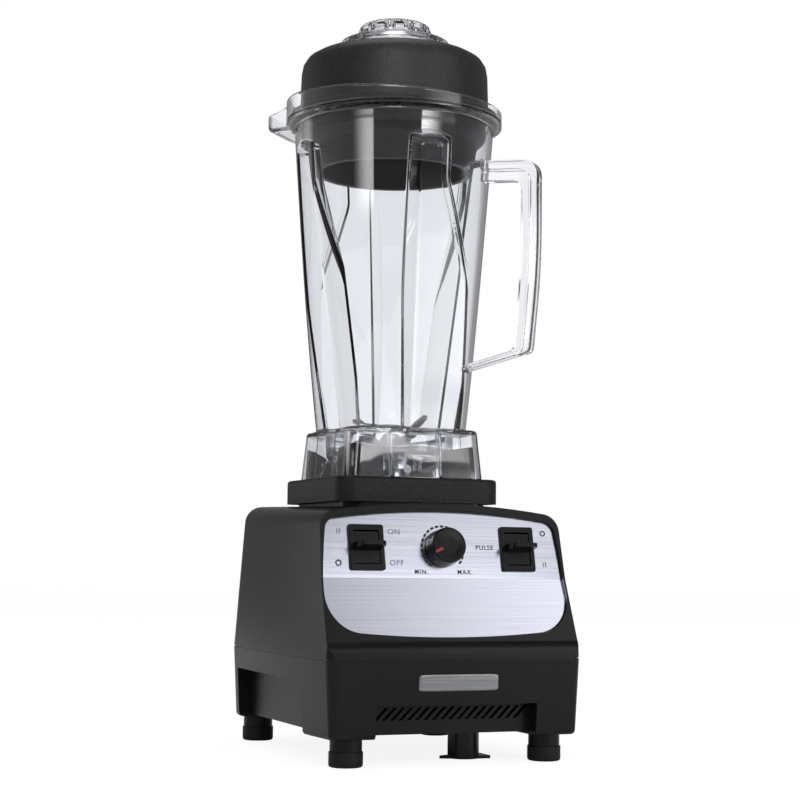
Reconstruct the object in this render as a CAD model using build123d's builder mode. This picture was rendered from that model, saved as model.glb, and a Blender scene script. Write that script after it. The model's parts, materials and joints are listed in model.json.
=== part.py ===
from build123d import *
import os
from math import atan, cos, radians, sin, tan

os.makedirs("parts", exist_ok=True)

# Driving dimensions of the countertop blender, in millimetres and degrees.
# Origin: centre of the footprint on the counter, +Z up, front at -Y.

# Clearances
seat_gap = 0.02
run_gap = 0.05
slide_gap = 0.4
loose_gap = 0.25

# Feet and tray
base_width = 181.4
base_depth = 216.3
front_corner = 7.0
back_corner = 24.0
side_bow = 3.0
foot_pad_height = 9.9
foot_pad_radius = 10.9
foot_round_low = 1.8
foot_round_high = 0.8
foot_stem_height = 7.75
foot_stem_radius = 10.2
foot_inset_x = 21.5
foot_inset_y = 18.45
foot_screw_radius = 2.5
foot_screw_head = 4.5
foot_screw_recess = 5.0
tray_height = 48.95
tray_inset = 2.5
tray_wall = 3.0
tray_round = 3.0
leg_drop = 2.0
recess_setback = 12.0
front_leg_length = 35.2
front_recess_height = 20.85
side_recess_length = 139.0
side_recess_centre = 10.4
side_recess_height = 34.35
louvre_count = 18
louvre_pitch = 5.7
louvre_slot = 2.6
louvre_height = 8.0
louvre_lean = 45.0
duct_wall = 3.0
vent_count = 12
vent_length = 24.0
vent_width = 4.0

# Housing
housing_height = 99.4
crown_rise = 2.0
shoulder_drop_front = 9.0
shoulder_drop_back = 1.5
housing_wall = 3.0
side_draft = 5.0
back_draft = 8.0
shoulder_radius = 12.0
seam_height = 0.9
seam_depth = 0.8
rim_depth = 2.5
boss_height = 14.0
ceiling_bite = 3.5
motor_hang = 10.0
boss_radius = 6.0
neck_width = 104.0
neck_corner = 10.0
neck_height = 2.0
drive_hole = 20.0

# Control panel
panel_thickness = 1.5
crease_height = 51.0
crease_setback = 24.05
upper_lean = 12.4
lower_lean = 21.0
panel_bottom = 13.9
panel_bottom_side = 18.9
panel_top = 94.4
panel_top_side = 88.0
panel_half_low = 85.0
panel_half_crease = 84.6
panel_half_high = 80.5
panel_lower_corner = 25.0
panel_upper_corner = 8.0
panel_bend = 3.0

# Switches and speed knob
control_height = 70.4
switch_inset = 37.2
switch_width = 24.2
switch_height = 30.0
switch_frame = 2.0
switch_chamfer = 0.5
switch_border = 3.2
switch_depth = 24.0
switch_lap_x = 1.0
switch_lap_y = 1.5
rocker_radius = 10.8
rocker_proud = 1.2
pivot_depth = 2.0
pin_radius = 1.5
pin_stop = 0.6
paddle_reach = 15.5
paddle_root = 4.6
paddle_tip = 2.6
knob_radius = 12.5
knob_taper = 0.8
knob_height = 11.5
knob_lift = 0.6
knob_round = 1.2
knob_recess = 7.5
pot_radius = 12.0
pot_depth = 11.0
pot_bush_radius = 3.5
pot_bush_reach = 5.0
pot_shaft_radius = 3.0
nut_across = 10.0
nut_height = 2.2

# Centring pad and posts
jar_offset = 13.9
pad_width = 118.0
pad_height = 16.7
pad_corner = 12.0
pad_round = 2.4
pad_hole = 30.0
post_height = 24.5
post_leg = 24.0
post_slope = 6.5

# Motor
shaft_radius = 5.0
shaft_chamfer = 0.6
stack_width = 112.0
stack_depth = 96.0
stack_corner = 8.0
stack_height = 50.0
yoke = 8.5
bore_radius = 30.5
air_gap = 0.8
core_slots = 14
slot_centre = 22.3
slot_radius = 3.3
slot_mouth = 1.6
winding_radius = 25.5
winding_round = 2.8
pole_neck = 40.0
shoe_thickness = 4.5
shoe_half_depth = 30.0
coil_overhang = 8.5
coil_gap = 0.4
bolt_radius = 2.0
plate_thickness = 6.0
bracket_leg = 12.0
ear_x = 64.0
ear_y = 24.0
ear_radius = 9.0
isolator_height = 4.0
isolator_radius = 7.0
motor_screw_radius = 2.5
upper_bearing_radius = 15.0
lower_bearing_radius = 13.0
bearing_width = 9.0
bearing_race = 2.4
bearing_groove = 1.1
bearing_step = 2.0
commutator_radius = 14.5
commutator_height = 13.0
brush_width = 8.0
brush_height = 6.0
brush_length = 18.0
holder_wall = 1.5
fan_radius = 44.0
fan_height = 13.0
fan_blades = 11
fan_gap = 2.0
fan_blade_centre = 27.0
fan_blade_length = 27.0
fan_blade_thickness = 1.6
fan_blade_turn = 28.0

# Drive and blade unit
spline_teeth = 8
spline_root = 4.6
spline_tip = 5.8
tooth_width = 1.9
spline_length = 11.0
spline_gap = 0.15
socket_radius = 15.0
socket_chamfer = 1.0
socket_height = 18.0
blade_shaft_radius = 4.0
shaft_collar = 6.0
cap_hex = 8.0
cap_radius = 6.4
cap_height = 8.0
cap_round = 2.6
blade_bearing_radius = 9.5
blade_bearing_width = 6.0
unit_radius = 14.0
unit_flange = 20.0
unit_flange_height = 4.0
unit_chamfer = 1.3
gasket_height = 1.0
unit_nut_radius = 22.0
unit_nut_height = 5.5
nut_notch = 3.6
nut_notches = 6
blade_radius = 31.0
blade_width = 13.0
blade_thickness = 2.0
lower_bend = 9.0
upper_bend = 38.0
blade_flat = 11.0
blade_tip = 4.3
blade_turn = 20.0
blade_cross = 90.0

# Jar
jar_wall = 3.2
skirt_height = 34.1
skirt_low = 50.8
skirt_high = 47.9
skirt_corner = 9.0
skirt_wall = 3.0
bowl_radius = 43.4
bowl_drop = 17.8
web_offset = 18.0
web_thickness = 1.8
jar_low_radius = 53.4
jar_mid_radius = 64.2
jar_neck_radius = 70.6
jar_mid_height = 126.0
jar_neck_height = 211.0
face_low = 46.5
face_slope = 0.14
flute_low = 37.6
flute_high = 62.5
flute_drop = 16.8
flute_crown = 0.6
flute_sweep_drop = 41.0
flute_left_low = 0.2
flute_left_high = -4.4
flute_right = 11.5
flute_low_wall = 39.0
flute_high_wall = 60.0
flute_right_wall = 15.0
flute_roof = 40.0
ledge_rise = 9.7
collar_radius = 76.8
collar_wall = 3.0
collar_height = 10.5
collar_slant = 5.4
spout_reach = 98.0
spout_half = 21.0
spout_drop = 18.9
spout_curl = 14.0
spout_floor_reach = 88.0
spout_turn = 135.0
handle_turn = -45.0
handle_drop = 22.3
handle_top_fall = 2.5
handle_arm = 14.5
handle_reach = 109.5
handle_bend = 111.0
handle_foot_reach = 104.0
handle_foot = 53.3
handle_depth = 12.5
handle_low_arm = 4.6
handle_low_root = 39.5
handle_flange = 6.5
handle_low_flange = 2.4
handle_width = 12.5
handle_web = 8.4
handle_outer_round = 11.5
handle_inner_round = 6.0
handle_foot_round = 3.5
handle_bend_round = 60.0
magnet_radius = 2.8
magnet_x = -6.5
magnet_height = 5.8

# Lid and plug
lid_flange_radius = 73.2
lid_flange = 4.0
lid_radius = 67.4
lid_top_radius = 66.0
lid_height = 47.1
lid_round = 11.0
lid_wall = 5.0
lid_collar_radius = 65.6
lid_collar_tip = 56.4
lid_collar_straight = 13.0
lid_collar_step = 59.4
lid_collar_step_drop = 18.0
lid_collar_drop = 37.0
plug_hole = 30.0
plug_flange_radius = 39.5
plug_flange = 8.4
plug_lip = 3.0
plug_knob_radius = 25.0
plug_knob_height = 15.1
plug_drop = 26.0
plug_wall = 2.6
plug_facets = 12
plug_scallop = 4.2
plug_scallop_out = 3.1

# Small inner pieces and what hangs under the tray
gland_inset = 50.7
gland_radius = 6.0
gland_bore = 4.0
gland_flange = 7.0
gland_round = 1.0
reset_inset = 30.7
reset_y = -45.0
reset_radius = 7.0
reset_button_radius = 4.0
reset_travel = 3.0
reset_reach = 4.5
reset_round = 0.5
cleat_x = 22.5
cleat_y = -65.0
cleat_radius = 10.3
cleat_plate = 2.0
cleat_lift = 0.4
cleat_tip = 17.0
cleat_end = 16.0
cleat_half = 8.0
board_width = 92.0
board_depth = 38.0
board_setback = 42.15
standoff = 6.0
standoff_radius = 3.0
reed_depth = 4.0
reed_width = 8.0
reed_length = 24.0
board_inset = 4.0
board_thickness = 1.5
sink_x = -23.0
sink_width = 23.0
sink_depth = 19.0
capacitor_x = 18.4
capacitor_radius = 9.5
board_parts_height = 18.0

# Levels above the counter
tray_bottom = foot_pad_height + foot_stem_height
parting = tray_bottom + tray_height
floor_under = tray_bottom + leg_drop
floor_top = floor_under + tray_wall
crown_front = parting + housing_height
crown_back = crown_front + crown_rise
pad_bottom = crown_front + neck_height
jar_seat = pad_bottom + pad_height
shoulder = jar_seat + skirt_height
jar_floor = shoulder - bowl_drop
bowl_floor = jar_floor + jar_wall
neck_top = shoulder + jar_neck_height
ledge = neck_top + ledge_rise
lid_top = ledge + lid_height
crease = parting + crease_height
control_z = parting + control_height

# Places tied to the footprint
front_recess_width = base_width - 2 * front_leg_length
switch_x = base_width / 2 - switch_inset
board_y = board_setback - base_depth / 2
foot_x = base_width / 2 - foot_inset_x
foot_y = base_depth / 2 - foot_inset_y
gland_x = gland_inset - base_width / 2
reset_x = reset_inset - base_width / 2

# Reference planes and axes
meridian = Plane(origin=(0, jar_offset, 0), x_dir=(1, 0, 0), z_dir=(0, -1, 0))
jar_axis = Axis((0, jar_offset, 0), (0, 0, 1))


def at_axis(level):
    return Plane(origin=(0, jar_offset, level))


def panel_y(level):
    crease_y = crease_setback - base_depth / 2
    if level > crease:
        return crease_y + (level - crease) * tan(radians(upper_lean))
    return crease_y - (crease - level) * tan(radians(lower_lean))


def panel_plane(x):
    lean = radians(upper_lean)
    return Plane(
        origin=(x, panel_y(control_z), control_z),
        x_dir=(1, 0, 0),
        z_dir=(0, -cos(lean), sin(lean)),
    )


def footprint(inset, side_cut, back_cut):
    # plan outline of the base: straight front and back, bowed sides, tight corners only at the front
    half = base_width / 2 - inset - side_cut
    front = inset - base_depth / 2
    back = base_depth / 2 - inset - back_cut
    with BuildSketch() as outline:
        with BuildLine():
            Line((side_bow - half, front), (half - side_bow, front))
            ThreePointArc((half - side_bow, front), (half, 0), (half - side_bow, back))
            Line((half - side_bow, back), (side_bow - half, back))
            ThreePointArc((side_bow - half, back), (-half, 0), (side_bow - half, front))
        make_face()
        fillet(outline.vertices().group_by(Axis.Y)[0], front_corner - inset)
        fillet(outline.vertices().group_by(Axis.Y)[-1], back_corner - inset)
    return outline.sketch


def finish(piece, name):
    piece.part.label = name
    export_step(piece.part, f"parts/{name}.step")


# Base tray: tapered band on four corner legs, recessed between the legs
recess_x = base_width / 2 - recess_setback
recess_y = base_depth / 2 - recess_setback
band_floor = tray_bottom + side_recess_height + tray_wall
band_inset = tray_wall + tray_inset * (parting - band_floor) / tray_height
gland_z = floor_top + gland_flange + slide_gap

with BuildPart() as base_tray:
    with BuildSketch(Plane.XY.offset(tray_bottom)):
        add(footprint(tray_inset, 0, 0))
    with BuildSketch(Plane.XY.offset(parting)):
        add(footprint(0, 0, 0))
    loft(ruled=True)
    fillet(base_tray.faces().sort_by(Axis.Z)[0].edges(), tray_round)
    # recesses at front and back, then at both sides
    with BuildSketch(Plane.XY.offset(tray_bottom)):
        with GridLocations(0, 2 * recess_y + base_depth, 1, 2):
            Rectangle(front_recess_width, base_depth)
    extrude(amount=front_recess_height, mode=Mode.SUBTRACT)
    with BuildSketch(Plane.XY.offset(tray_bottom)):
        with Locations((0, side_recess_centre)):
            with GridLocations(2 * recess_x + base_width, 0, 2, 1):
                Rectangle(base_width, side_recess_length)
    extrude(amount=side_recess_height, mode=Mode.SUBTRACT)
    with BuildSketch(Plane.XY.offset(tray_bottom)):
        Rectangle(front_recess_width, base_depth)
        with Locations((0, side_recess_centre)):
            Rectangle(base_width, side_recess_length)
    extrude(amount=leg_drop, mode=Mode.SUBTRACT)
    # open box inside, wider above the recesses
    with BuildSketch(Plane.XY.offset(floor_top)):
        RectangleRounded(2 * (recess_x - tray_wall), 2 * (recess_y - tray_wall), front_corner)
    extrude(amount=parting - floor_top, mode=Mode.SUBTRACT)
    with BuildSketch(Plane.XY.offset(band_floor)):
        add(footprint(band_inset, 0, 0))
    extrude(amount=parting - band_floor, mode=Mode.SUBTRACT)
    # round duct about the fan, with radial outlets through the floor
    with BuildSketch(at_axis(floor_top)):
        Circle(fan_radius + fan_gap + duct_wall)
        Circle(fan_radius + fan_gap, mode=Mode.SUBTRACT)
    extrude(amount=fan_height)
    with BuildSketch(at_axis(floor_under)):
        with PolarLocations(fan_radius - vent_length / 2 - fan_gap, vent_count):
            SlotOverall(vent_length, vent_width)
    extrude(amount=tray_wall, mode=Mode.SUBTRACT)
    # slanted louvres high in the front recess
    louvre_z = tray_bottom + front_recess_height - louvre_height / 2 - leg_drop
    louvre_shift = louvre_height / 2 * tan(radians(louvre_lean))
    with BuildSketch(Plane(origin=(0, -recess_y, louvre_z), x_dir=(1, 0, 0), z_dir=(0, -1, 0))):
        with GridLocations(louvre_pitch, 0, louvre_count, 1):
            Polygon(
                (-louvre_shift - louvre_slot / 2, -louvre_height / 2),
                (-louvre_shift + louvre_slot / 2, -louvre_height / 2),
                (louvre_shift + louvre_slot / 2, louvre_height / 2),
                (louvre_shift - louvre_slot / 2, louvre_height / 2),
                align=None,
            )
    extrude(amount=-tray_wall, mode=Mode.SUBTRACT)
    # screw ways through the legs, openings for the reset button and the gland, board standoffs
    with BuildSketch(Plane.XY.offset(tray_bottom)):
        with GridLocations(2 * foot_x, 2 * foot_y, 2, 2):
            Circle(foot_screw_radius + loose_gap)
    extrude(amount=tray_height, mode=Mode.SUBTRACT)
    with BuildSketch(Plane.XY.offset(floor_under)):
        with Locations((reset_x, reset_y)):
            Circle(reset_button_radius + slide_gap)
    extrude(amount=tray_wall, mode=Mode.SUBTRACT)
    with BuildSketch(Plane(origin=(gland_x, recess_y, gland_z), x_dir=(1, 0, 0), z_dir=(0, 1, 0))):
        Circle(gland_radius + seat_gap)
    extrude(amount=-tray_wall, mode=Mode.SUBTRACT)
    with BuildSketch(Plane.XY.offset(floor_top)):
        with Locations((0, board_y)):
            with GridLocations(board_width - 2 * board_inset, board_depth - 2 * board_inset, 2, 2):
                Circle(standoff_radius)
    extrude(amount=standoff)
finish(base_tray, "base_tray")


# Housing form: drafted sides, leaning front, crowned top with rounded shoulders
lip = parting + panel_bottom - rim_depth


def housing_form(inset, front_shift, top_drop, shoulder_round):
    with BuildPart() as form:
        with BuildSketch(Plane.XY.offset(parting)):
            add(footprint(inset, 0, 0))
        with BuildSketch(Plane.XY.offset(crown_back)):
            add(footprint(inset, side_draft, back_draft))
        loft(ruled=True)
        foot = (inset - base_depth / 2, parting)
        lip_point = (panel_y(lip) + front_shift, lip)
        belly = ((foot[0] * 2 + lip_point[0]) / 3, (parting + lip) / 2)
        with BuildSketch(Plane.YZ):
            with BuildLine():
                ThreePointArc(foot, belly, lip_point)
                Polyline(
                    lip_point,
                    (panel_y(crease) + front_shift, crease),
                    (panel_y(crown_back) + front_shift, crown_back),
                    (base_depth, crown_back),
                    (base_depth, parting),
                    foot,
                )
            make_face()
        extrude(amount=base_width, both=True, mode=Mode.INTERSECT)
        for side, crown, drop in (
            (1, crown_front, shoulder_drop_front),
            (-1, crown_back, shoulder_drop_back),
        ):
            with BuildSketch(Plane.XZ.offset(side * base_depth / 2)):
                with BuildLine():
                    ThreePointArc(
                        (-base_width / 2, crown - drop - top_drop),
                        (0, crown - top_drop),
                        (base_width / 2, crown - drop - top_drop),
                    )
                    Polyline(
                        (base_width / 2, crown - drop - top_drop),
                        (base_width / 2, tray_bottom),
                        (-base_width / 2, tray_bottom),
                        (-base_width / 2, crown - drop - top_drop),
                    )
                make_face()
        loft(mode=Mode.INTERSECT)
        top = form.faces().sort_by(Axis.Z)[-1]
        rim_back = panel_y(crown_front) + inset + 2 * rim_depth
        rear_edges = [e for e in top.edges() if e.center().Y > rim_back]
        fillet(rear_edges, shoulder_round)
    return form.part


def panel_band(back, front, grow):
    # the bent band of the panel between two depths, trimmed to the arched outline
    with BuildPart() as band:
        with BuildSketch(Plane.YZ) as profile:
            with BuildLine():
                Polyline(
                    (panel_y(parting) + front, parting),
                    (panel_y(crease) + front, crease),
                    (panel_y(crown_back) + front, crown_back),
                    (panel_y(crown_back) + back, crown_back),
                    (panel_y(crease) + back, crease),
                    (panel_y(parting) + back, parting),
                    close=True,
                )
            make_face()
            fillet(profile.vertices().group_by(Axis.Y)[1], panel_bend)
        extrude(amount=base_width, both=True)
        with BuildSketch(Plane.XZ.offset(base_depth)) as outline:
            with BuildLine():
                low = parting + panel_bottom - grow
                low_side = parting + panel_bottom_side - grow
                high = parting + panel_top + grow
                high_side = parting + panel_top_side + grow
                half_low = panel_half_low + grow
                half_crease = panel_half_crease + grow
                half_high = panel_half_high + grow
                ThreePointArc((-half_low, low_side), (0, low), (half_low, low_side))
                ThreePointArc((half_low, low_side), (half_crease, crease), (half_high, high_side))
                ThreePointArc((half_high, high_side), (0, high), (-half_high, high_side))
                ThreePointArc((-half_high, high_side), (-half_crease, crease), (-half_low, low_side))
            make_face()
            fillet(outline.vertices().group_by(Axis.Y)[0], panel_lower_corner)
            fillet(outline.vertices().group_by(Axis.Y)[-1], panel_upper_corner)
        extrude(amount=-2 * base_depth, mode=Mode.INTERSECT)
    return band.part


boss_top = crown_front - ceiling_bite
isolator_top = crown_front - motor_hang
switch_hole_width = switch_width - 2 * switch_lap_x
switch_hole_height = switch_height - 2 * switch_lap_y

with BuildPart() as motor_housing:
    add(housing_form(0, -rim_depth, 0, shoulder_radius))
    add(
        housing_form(
            housing_wall,
            panel_thickness + housing_wall,
            housing_wall,
            shoulder_radius - housing_wall,
        ),
        mode=Mode.SUBTRACT,
    )
    # dark seam where the housing sits on the tray
    with BuildSketch(Plane.XY.offset(parting)):
        add(footprint(0, -seam_depth, -seam_depth))
        add(footprint(seam_depth, 0, 0), mode=Mode.SUBTRACT)
    extrude(amount=seam_height, mode=Mode.SUBTRACT)
    # raised neck under the centring pad, with the way for the drive
    with BuildSketch(at_axis(pad_bottom)):
        RectangleRounded(neck_width, neck_width, neck_corner)
    extrude(amount=-(neck_height + shoulder_drop_front))
    # bosses for the motor and for the foot screws, each foot boss with a rib to the side wall
    with BuildSketch(at_axis(isolator_top)):
        with GridLocations(2 * ear_x, 2 * ear_y, 2, 2):
            Circle(isolator_radius)
    extrude(amount=boss_top - isolator_top)
    with BuildSketch(Plane.XY.offset(parting)):
        with GridLocations(2 * foot_x, 2 * foot_y, 2, 2):
            Circle(boss_radius)
        rib_end = (base_width - housing_wall) / 2 - side_bow
        with GridLocations(foot_x + rib_end, 2 * foot_y, 2, 2):
            Rectangle(rib_end - foot_x, housing_wall)
    extrude(amount=boss_height)
    with BuildSketch(at_axis(isolator_top)):
        with GridLocations(2 * ear_x, 2 * ear_y, 2, 2):
            Circle(motor_screw_radius + seat_gap)
    extrude(amount=boss_radius, mode=Mode.SUBTRACT)
    with BuildSketch(Plane.XY.offset(parting)):
        with GridLocations(2 * foot_x, 2 * foot_y, 2, 2):
            Circle(foot_screw_radius + seat_gap)
    extrude(amount=boss_height - housing_wall, mode=Mode.SUBTRACT)
    with BuildSketch(at_axis(parting)):
        Circle(drive_hole)
    extrude(amount=pad_bottom - parting, mode=Mode.SUBTRACT)
    # seat of the control panel, with openings for the switches and the speed control
    add(panel_band(panel_thickness, -base_depth, loose_gap), mode=Mode.SUBTRACT)
    for side in (-1, 1):
        with BuildSketch(panel_plane(side * switch_x)):
            Rectangle(switch_hole_width + 2 * loose_gap, switch_hole_height + 2 * loose_gap)
        extrude(amount=-switch_depth, mode=Mode.SUBTRACT)
    with BuildSketch(panel_plane(0)):
        Circle(pot_bush_radius + loose_gap)
    extrude(amount=-switch_depth, mode=Mode.SUBTRACT)
finish(motor_housing, "motor_housing")

# Control panel: bent aluminium plate with the control openings
with BuildPart() as control_panel:
    add(panel_band(panel_thickness, 0, 0))
    for side in (-1, 1):
        with BuildSketch(panel_plane(side * switch_x)):
            Rectangle(switch_hole_width + 2 * loose_gap, switch_hole_height + 2 * loose_gap)
        extrude(amount=-switch_depth, mode=Mode.SUBTRACT)
    with BuildSketch(panel_plane(0)):
        Circle(pot_bush_radius + loose_gap)
    extrude(amount=-switch_depth, mode=Mode.SUBTRACT)
finish(control_panel, "control_panel")

# Paddle switches: frame and body in one moulding, a rocker with a flat nose, and its pivot pin
opening_width = switch_width - 2 * switch_border
opening_height = 2 * (rocker_radius + slide_gap)


def switch_body(x, name):
    with BuildPart() as body:
        with BuildSketch(panel_plane(x)):
            RectangleRounded(switch_width, switch_height, switch_border / 2)
        extrude(amount=switch_frame)
        chamfer(body.faces().sort_by(Axis.Y)[0].edges(), switch_chamfer)
        with BuildSketch(panel_plane(x)):
            Rectangle(switch_hole_width, switch_hole_height)
        extrude(amount=-switch_depth)
        with BuildSketch(panel_plane(x).offset(switch_frame)):
            Rectangle(opening_width, opening_height)
        extrude(amount=-(switch_frame + pivot_depth + rocker_radius + slide_gap), mode=Mode.SUBTRACT)
        with BuildSketch(pivot_plane(x)):
            Circle(pin_radius + seat_gap)
        extrude(amount=switch_hole_width / 2 - pin_stop, both=True, mode=Mode.SUBTRACT)
    finish(body, name)


def pivot_plane(x):
    # across the paddle at its pivot: local X out of the panel, local Y up along it
    face = panel_plane(x).offset(-pivot_depth)
    return Plane(origin=face.origin, x_dir=face.z_dir, z_dir=(-1, 0, 0))


def paddle(x, name):
    front = pivot_depth + rocker_proud
    with BuildPart() as lever:
        with BuildSketch(pivot_plane(x)):
            Circle(rocker_radius)
            with Locations((front, 0)):
                Rectangle(
                    2 * rocker_radius,
                    3 * rocker_radius,
                    align=(Align.MIN, Align.CENTER),
                    mode=Mode.SUBTRACT,
                )
            nose_tip = pivot_depth + paddle_reach
            Polygon(
                (0, -paddle_root / 2),
                (nose_tip, -paddle_tip / 2),
                (nose_tip, paddle_tip / 2),
                (0, paddle_root / 2 + rocker_proud),
                align=None,
            )
        extrude(amount=opening_width / 2 - slide_gap / 2, both=True)
        tip_edges = lever.faces().sort_by(Axis.Y)[0].edges()
        fillet(tip_edges.filter_by(Axis.X, reverse=True), paddle_tip)
        with BuildSketch(pivot_plane(x)):
            Circle(pin_radius + run_gap)
        extrude(amount=switch_width, both=True, mode=Mode.SUBTRACT)
    finish(lever, name)


switch_body(-switch_x, "power_switch")
switch_body(switch_x, "pulse_switch")
paddle(-switch_x, "power_paddle")
paddle(switch_x, "pulse_paddle")

with BuildPart() as switch_pins:
    for side in (-1, 1):
        with BuildSketch(pivot_plane(side * switch_x)):
            Circle(pin_radius)
        extrude(amount=switch_hole_width / 2 - pin_stop, both=True)
finish(switch_pins, "switch_pins")

# Speed control: potentiometer behind the housing wall, nut on the panel, spindle and knob
wall_back = (panel_thickness + housing_wall) * cos(radians(upper_lean))

with BuildPart() as speed_potentiometer:
    with BuildSketch(panel_plane(0).offset(-wall_back)):
        Circle(pot_radius)
    extrude(amount=-pot_depth)
    with BuildSketch(panel_plane(0).offset(-wall_back)):
        Circle(pot_bush_radius)
    extrude(amount=wall_back + pot_bush_reach)
    with BuildSketch(panel_plane(0).offset(pot_bush_reach)):
        Circle(pot_shaft_radius + run_gap)
    extrude(amount=-(pot_bush_reach + wall_back + pot_depth / 2), mode=Mode.SUBTRACT)
finish(speed_potentiometer, "speed_potentiometer")

with BuildPart() as potentiometer_nut:
    with BuildSketch(panel_plane(0)):
        RegularPolygon(nut_across / 2, 6, major_radius=False)
        Circle(pot_bush_radius + seat_gap, mode=Mode.SUBTRACT)
    extrude(amount=nut_height)
finish(potentiometer_nut, "potentiometer_nut")

with BuildPart() as speed_spindle:
    with BuildSketch(panel_plane(0).offset(-wall_back - pot_depth / 2 + run_gap)):
        Circle(pot_shaft_radius)
    extrude(amount=wall_back + pot_depth / 2 + knob_height - 2 * knob_lift)
finish(speed_spindle, "speed_spindle")

with BuildPart() as speed_knob:
    with BuildSketch(panel_plane(0).offset(knob_lift)):
        Circle(knob_radius)
    with BuildSketch(panel_plane(0).offset(knob_lift + knob_height)):
        Circle(knob_radius - knob_taper)
    loft()
    fillet(speed_knob.faces().sort_by(Axis.Y)[0].edges(), knob_round)
    with BuildSketch(panel_plane(0).offset(knob_lift)):
        Circle(knob_recess)
    extrude(amount=pot_bush_reach, mode=Mode.SUBTRACT)
    with BuildSketch(panel_plane(0).offset(knob_lift)):
        Circle(pot_shaft_radius + seat_gap)
    extrude(amount=knob_height - 2 * knob_lift, mode=Mode.SUBTRACT)
finish(speed_knob, "speed_knob")

# Centring pad on the neck, with corner windows for the posts
post_out_low = skirt_low - skirt_wall - slide_gap
post_out_high = skirt_high - skirt_wall - slide_gap
post_corner = skirt_corner - skirt_wall
post_round = bowl_radius + slide_gap

with BuildPart() as centering_pad:
    with BuildSketch(at_axis(pad_bottom)):
        RectangleRounded(pad_width, pad_width, pad_corner)
        Circle(pad_hole, mode=Mode.SUBTRACT)
    extrude(amount=pad_height)
    fillet(centering_pad.faces().sort_by(Axis.Z)[-1].outer_wire().edges(), pad_round)
    post_centre = post_out_low - post_leg / 2
    with BuildSketch(at_axis(pad_bottom)):
        with GridLocations(2 * post_centre, 2 * post_centre, 2, 2):
            RectangleRounded(post_leg + 2 * loose_gap, post_leg + 2 * loose_gap, post_corner / 2)
    extrude(amount=pad_height, mode=Mode.SUBTRACT)
finish(centering_pad, "centering_pad")

# Four posts that stand inside the skirt's corners, hollowed round the jar's bowl
post_top = jar_seat + post_height

with BuildPart() as locating_posts:
    with BuildSketch(at_axis(pad_bottom)):
        with GridLocations(2 * post_centre, 2 * post_centre, 2, 2):
            RectangleRounded(post_leg, post_leg, post_corner / 2)
    extrude(amount=post_top - pad_bottom)
    with BuildSketch(at_axis(pad_bottom)):
        RectangleRounded(2 * post_out_low, 2 * post_out_low, post_corner)
    with BuildSketch(at_axis(shoulder)):
        RectangleRounded(2 * post_out_high, 2 * post_out_high, post_corner)
    loft(ruled=True, mode=Mode.INTERSECT)
    with BuildSketch(meridian):
        with BuildLine():
            Polyline(
                (0, jar_seat + skirt_wall),
                (post_round, jar_seat + skirt_wall),
                (post_round, post_top - post_slope),
                (post_out_low * 2, post_top + post_slope),
                (0, post_top + post_slope),
                close=True,
            )
        make_face()
    revolve(axis=jar_axis, mode=Mode.SUBTRACT)
finish(locating_posts, "locating_posts")

# Feet, their long screws and the flanged cleat under the tray
with BuildPart() as foot_stems:
    with BuildSketch(Plane.XY.offset(foot_pad_height)):
        with GridLocations(2 * foot_x, 2 * foot_y, 2, 2):
            Circle(foot_stem_radius)
            Circle(foot_screw_radius + loose_gap, mode=Mode.SUBTRACT)
    extrude(amount=foot_stem_height)
finish(foot_stems, "foot_stems")

with BuildPart() as foot_pads:
    with BuildSketch():
        with GridLocations(2 * foot_x, 2 * foot_y, 2, 2):
            Circle(foot_pad_radius)
    extrude(amount=foot_pad_height)
    fillet(foot_pads.faces().group_by(Axis.Z)[0].edges(), foot_round_low)
    fillet(foot_pads.faces().group_by(Axis.Z)[-1].edges(), foot_round_high)
    with BuildSketch():
        with GridLocations(2 * foot_x, 2 * foot_y, 2, 2):
            Circle(foot_screw_head + slide_gap)
    extrude(amount=foot_screw_recess, mode=Mode.SUBTRACT)
    with BuildSketch():
        with GridLocations(2 * foot_x, 2 * foot_y, 2, 2):
            Circle(foot_screw_radius + loose_gap)
    extrude(amount=foot_pad_height, mode=Mode.SUBTRACT)
finish(foot_pads, "foot_pads")

with BuildPart() as foot_screws:
    with BuildSketch(Plane.XY.offset(foot_screw_recess)):
        with GridLocations(2 * foot_x, 2 * foot_y, 2, 2):
            Circle(foot_screw_head)
    extrude(amount=-foot_screw_radius)
    with BuildSketch(Plane.XY.offset(foot_screw_recess)):
        with GridLocations(2 * foot_x, 2 * foot_y, 2, 2):
            Circle(foot_screw_radius)
    extrude(amount=parting + boss_height - 2 * housing_wall - foot_screw_recess)
finish(foot_screws, "foot_screws")

with BuildPart() as cord_cleat:
    with BuildSketch(Plane.XY.offset(cleat_lift)):
        with Locations((cleat_x, cleat_y)):
            Polygon(
                (-cleat_tip, 0),
                (0, -cleat_half),
                (cleat_end, -cleat_half),
                (cleat_end, cleat_half),
                (0, cleat_half),
                align=None,
            )
    extrude(amount=cleat_plate)
    with BuildSketch(Plane.XY.offset(cleat_lift)):
        with Locations((cleat_x, cleat_y)):
            Circle(cleat_radius)
    extrude(amount=floor_under - cleat_lift)
finish(cord_cleat, "cord_cleat")

# Motor levels: the motor hangs from the housing top on four isolators
bracket_top = isolator_top - isolator_height
bracket_bottom = bracket_top - plate_thickness
stack_top = bracket_bottom - bracket_leg
stack_bottom = stack_top - stack_height
low_plate_top = stack_bottom - 2 * bracket_leg
low_plate_bottom = low_plate_top - plate_thickness
bolt_x = stack_width / 2 - yoke / 2
bolt_y = stack_depth / 2 - yoke / 2
shoe_radius = bore_radius + shoe_thickness


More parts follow.
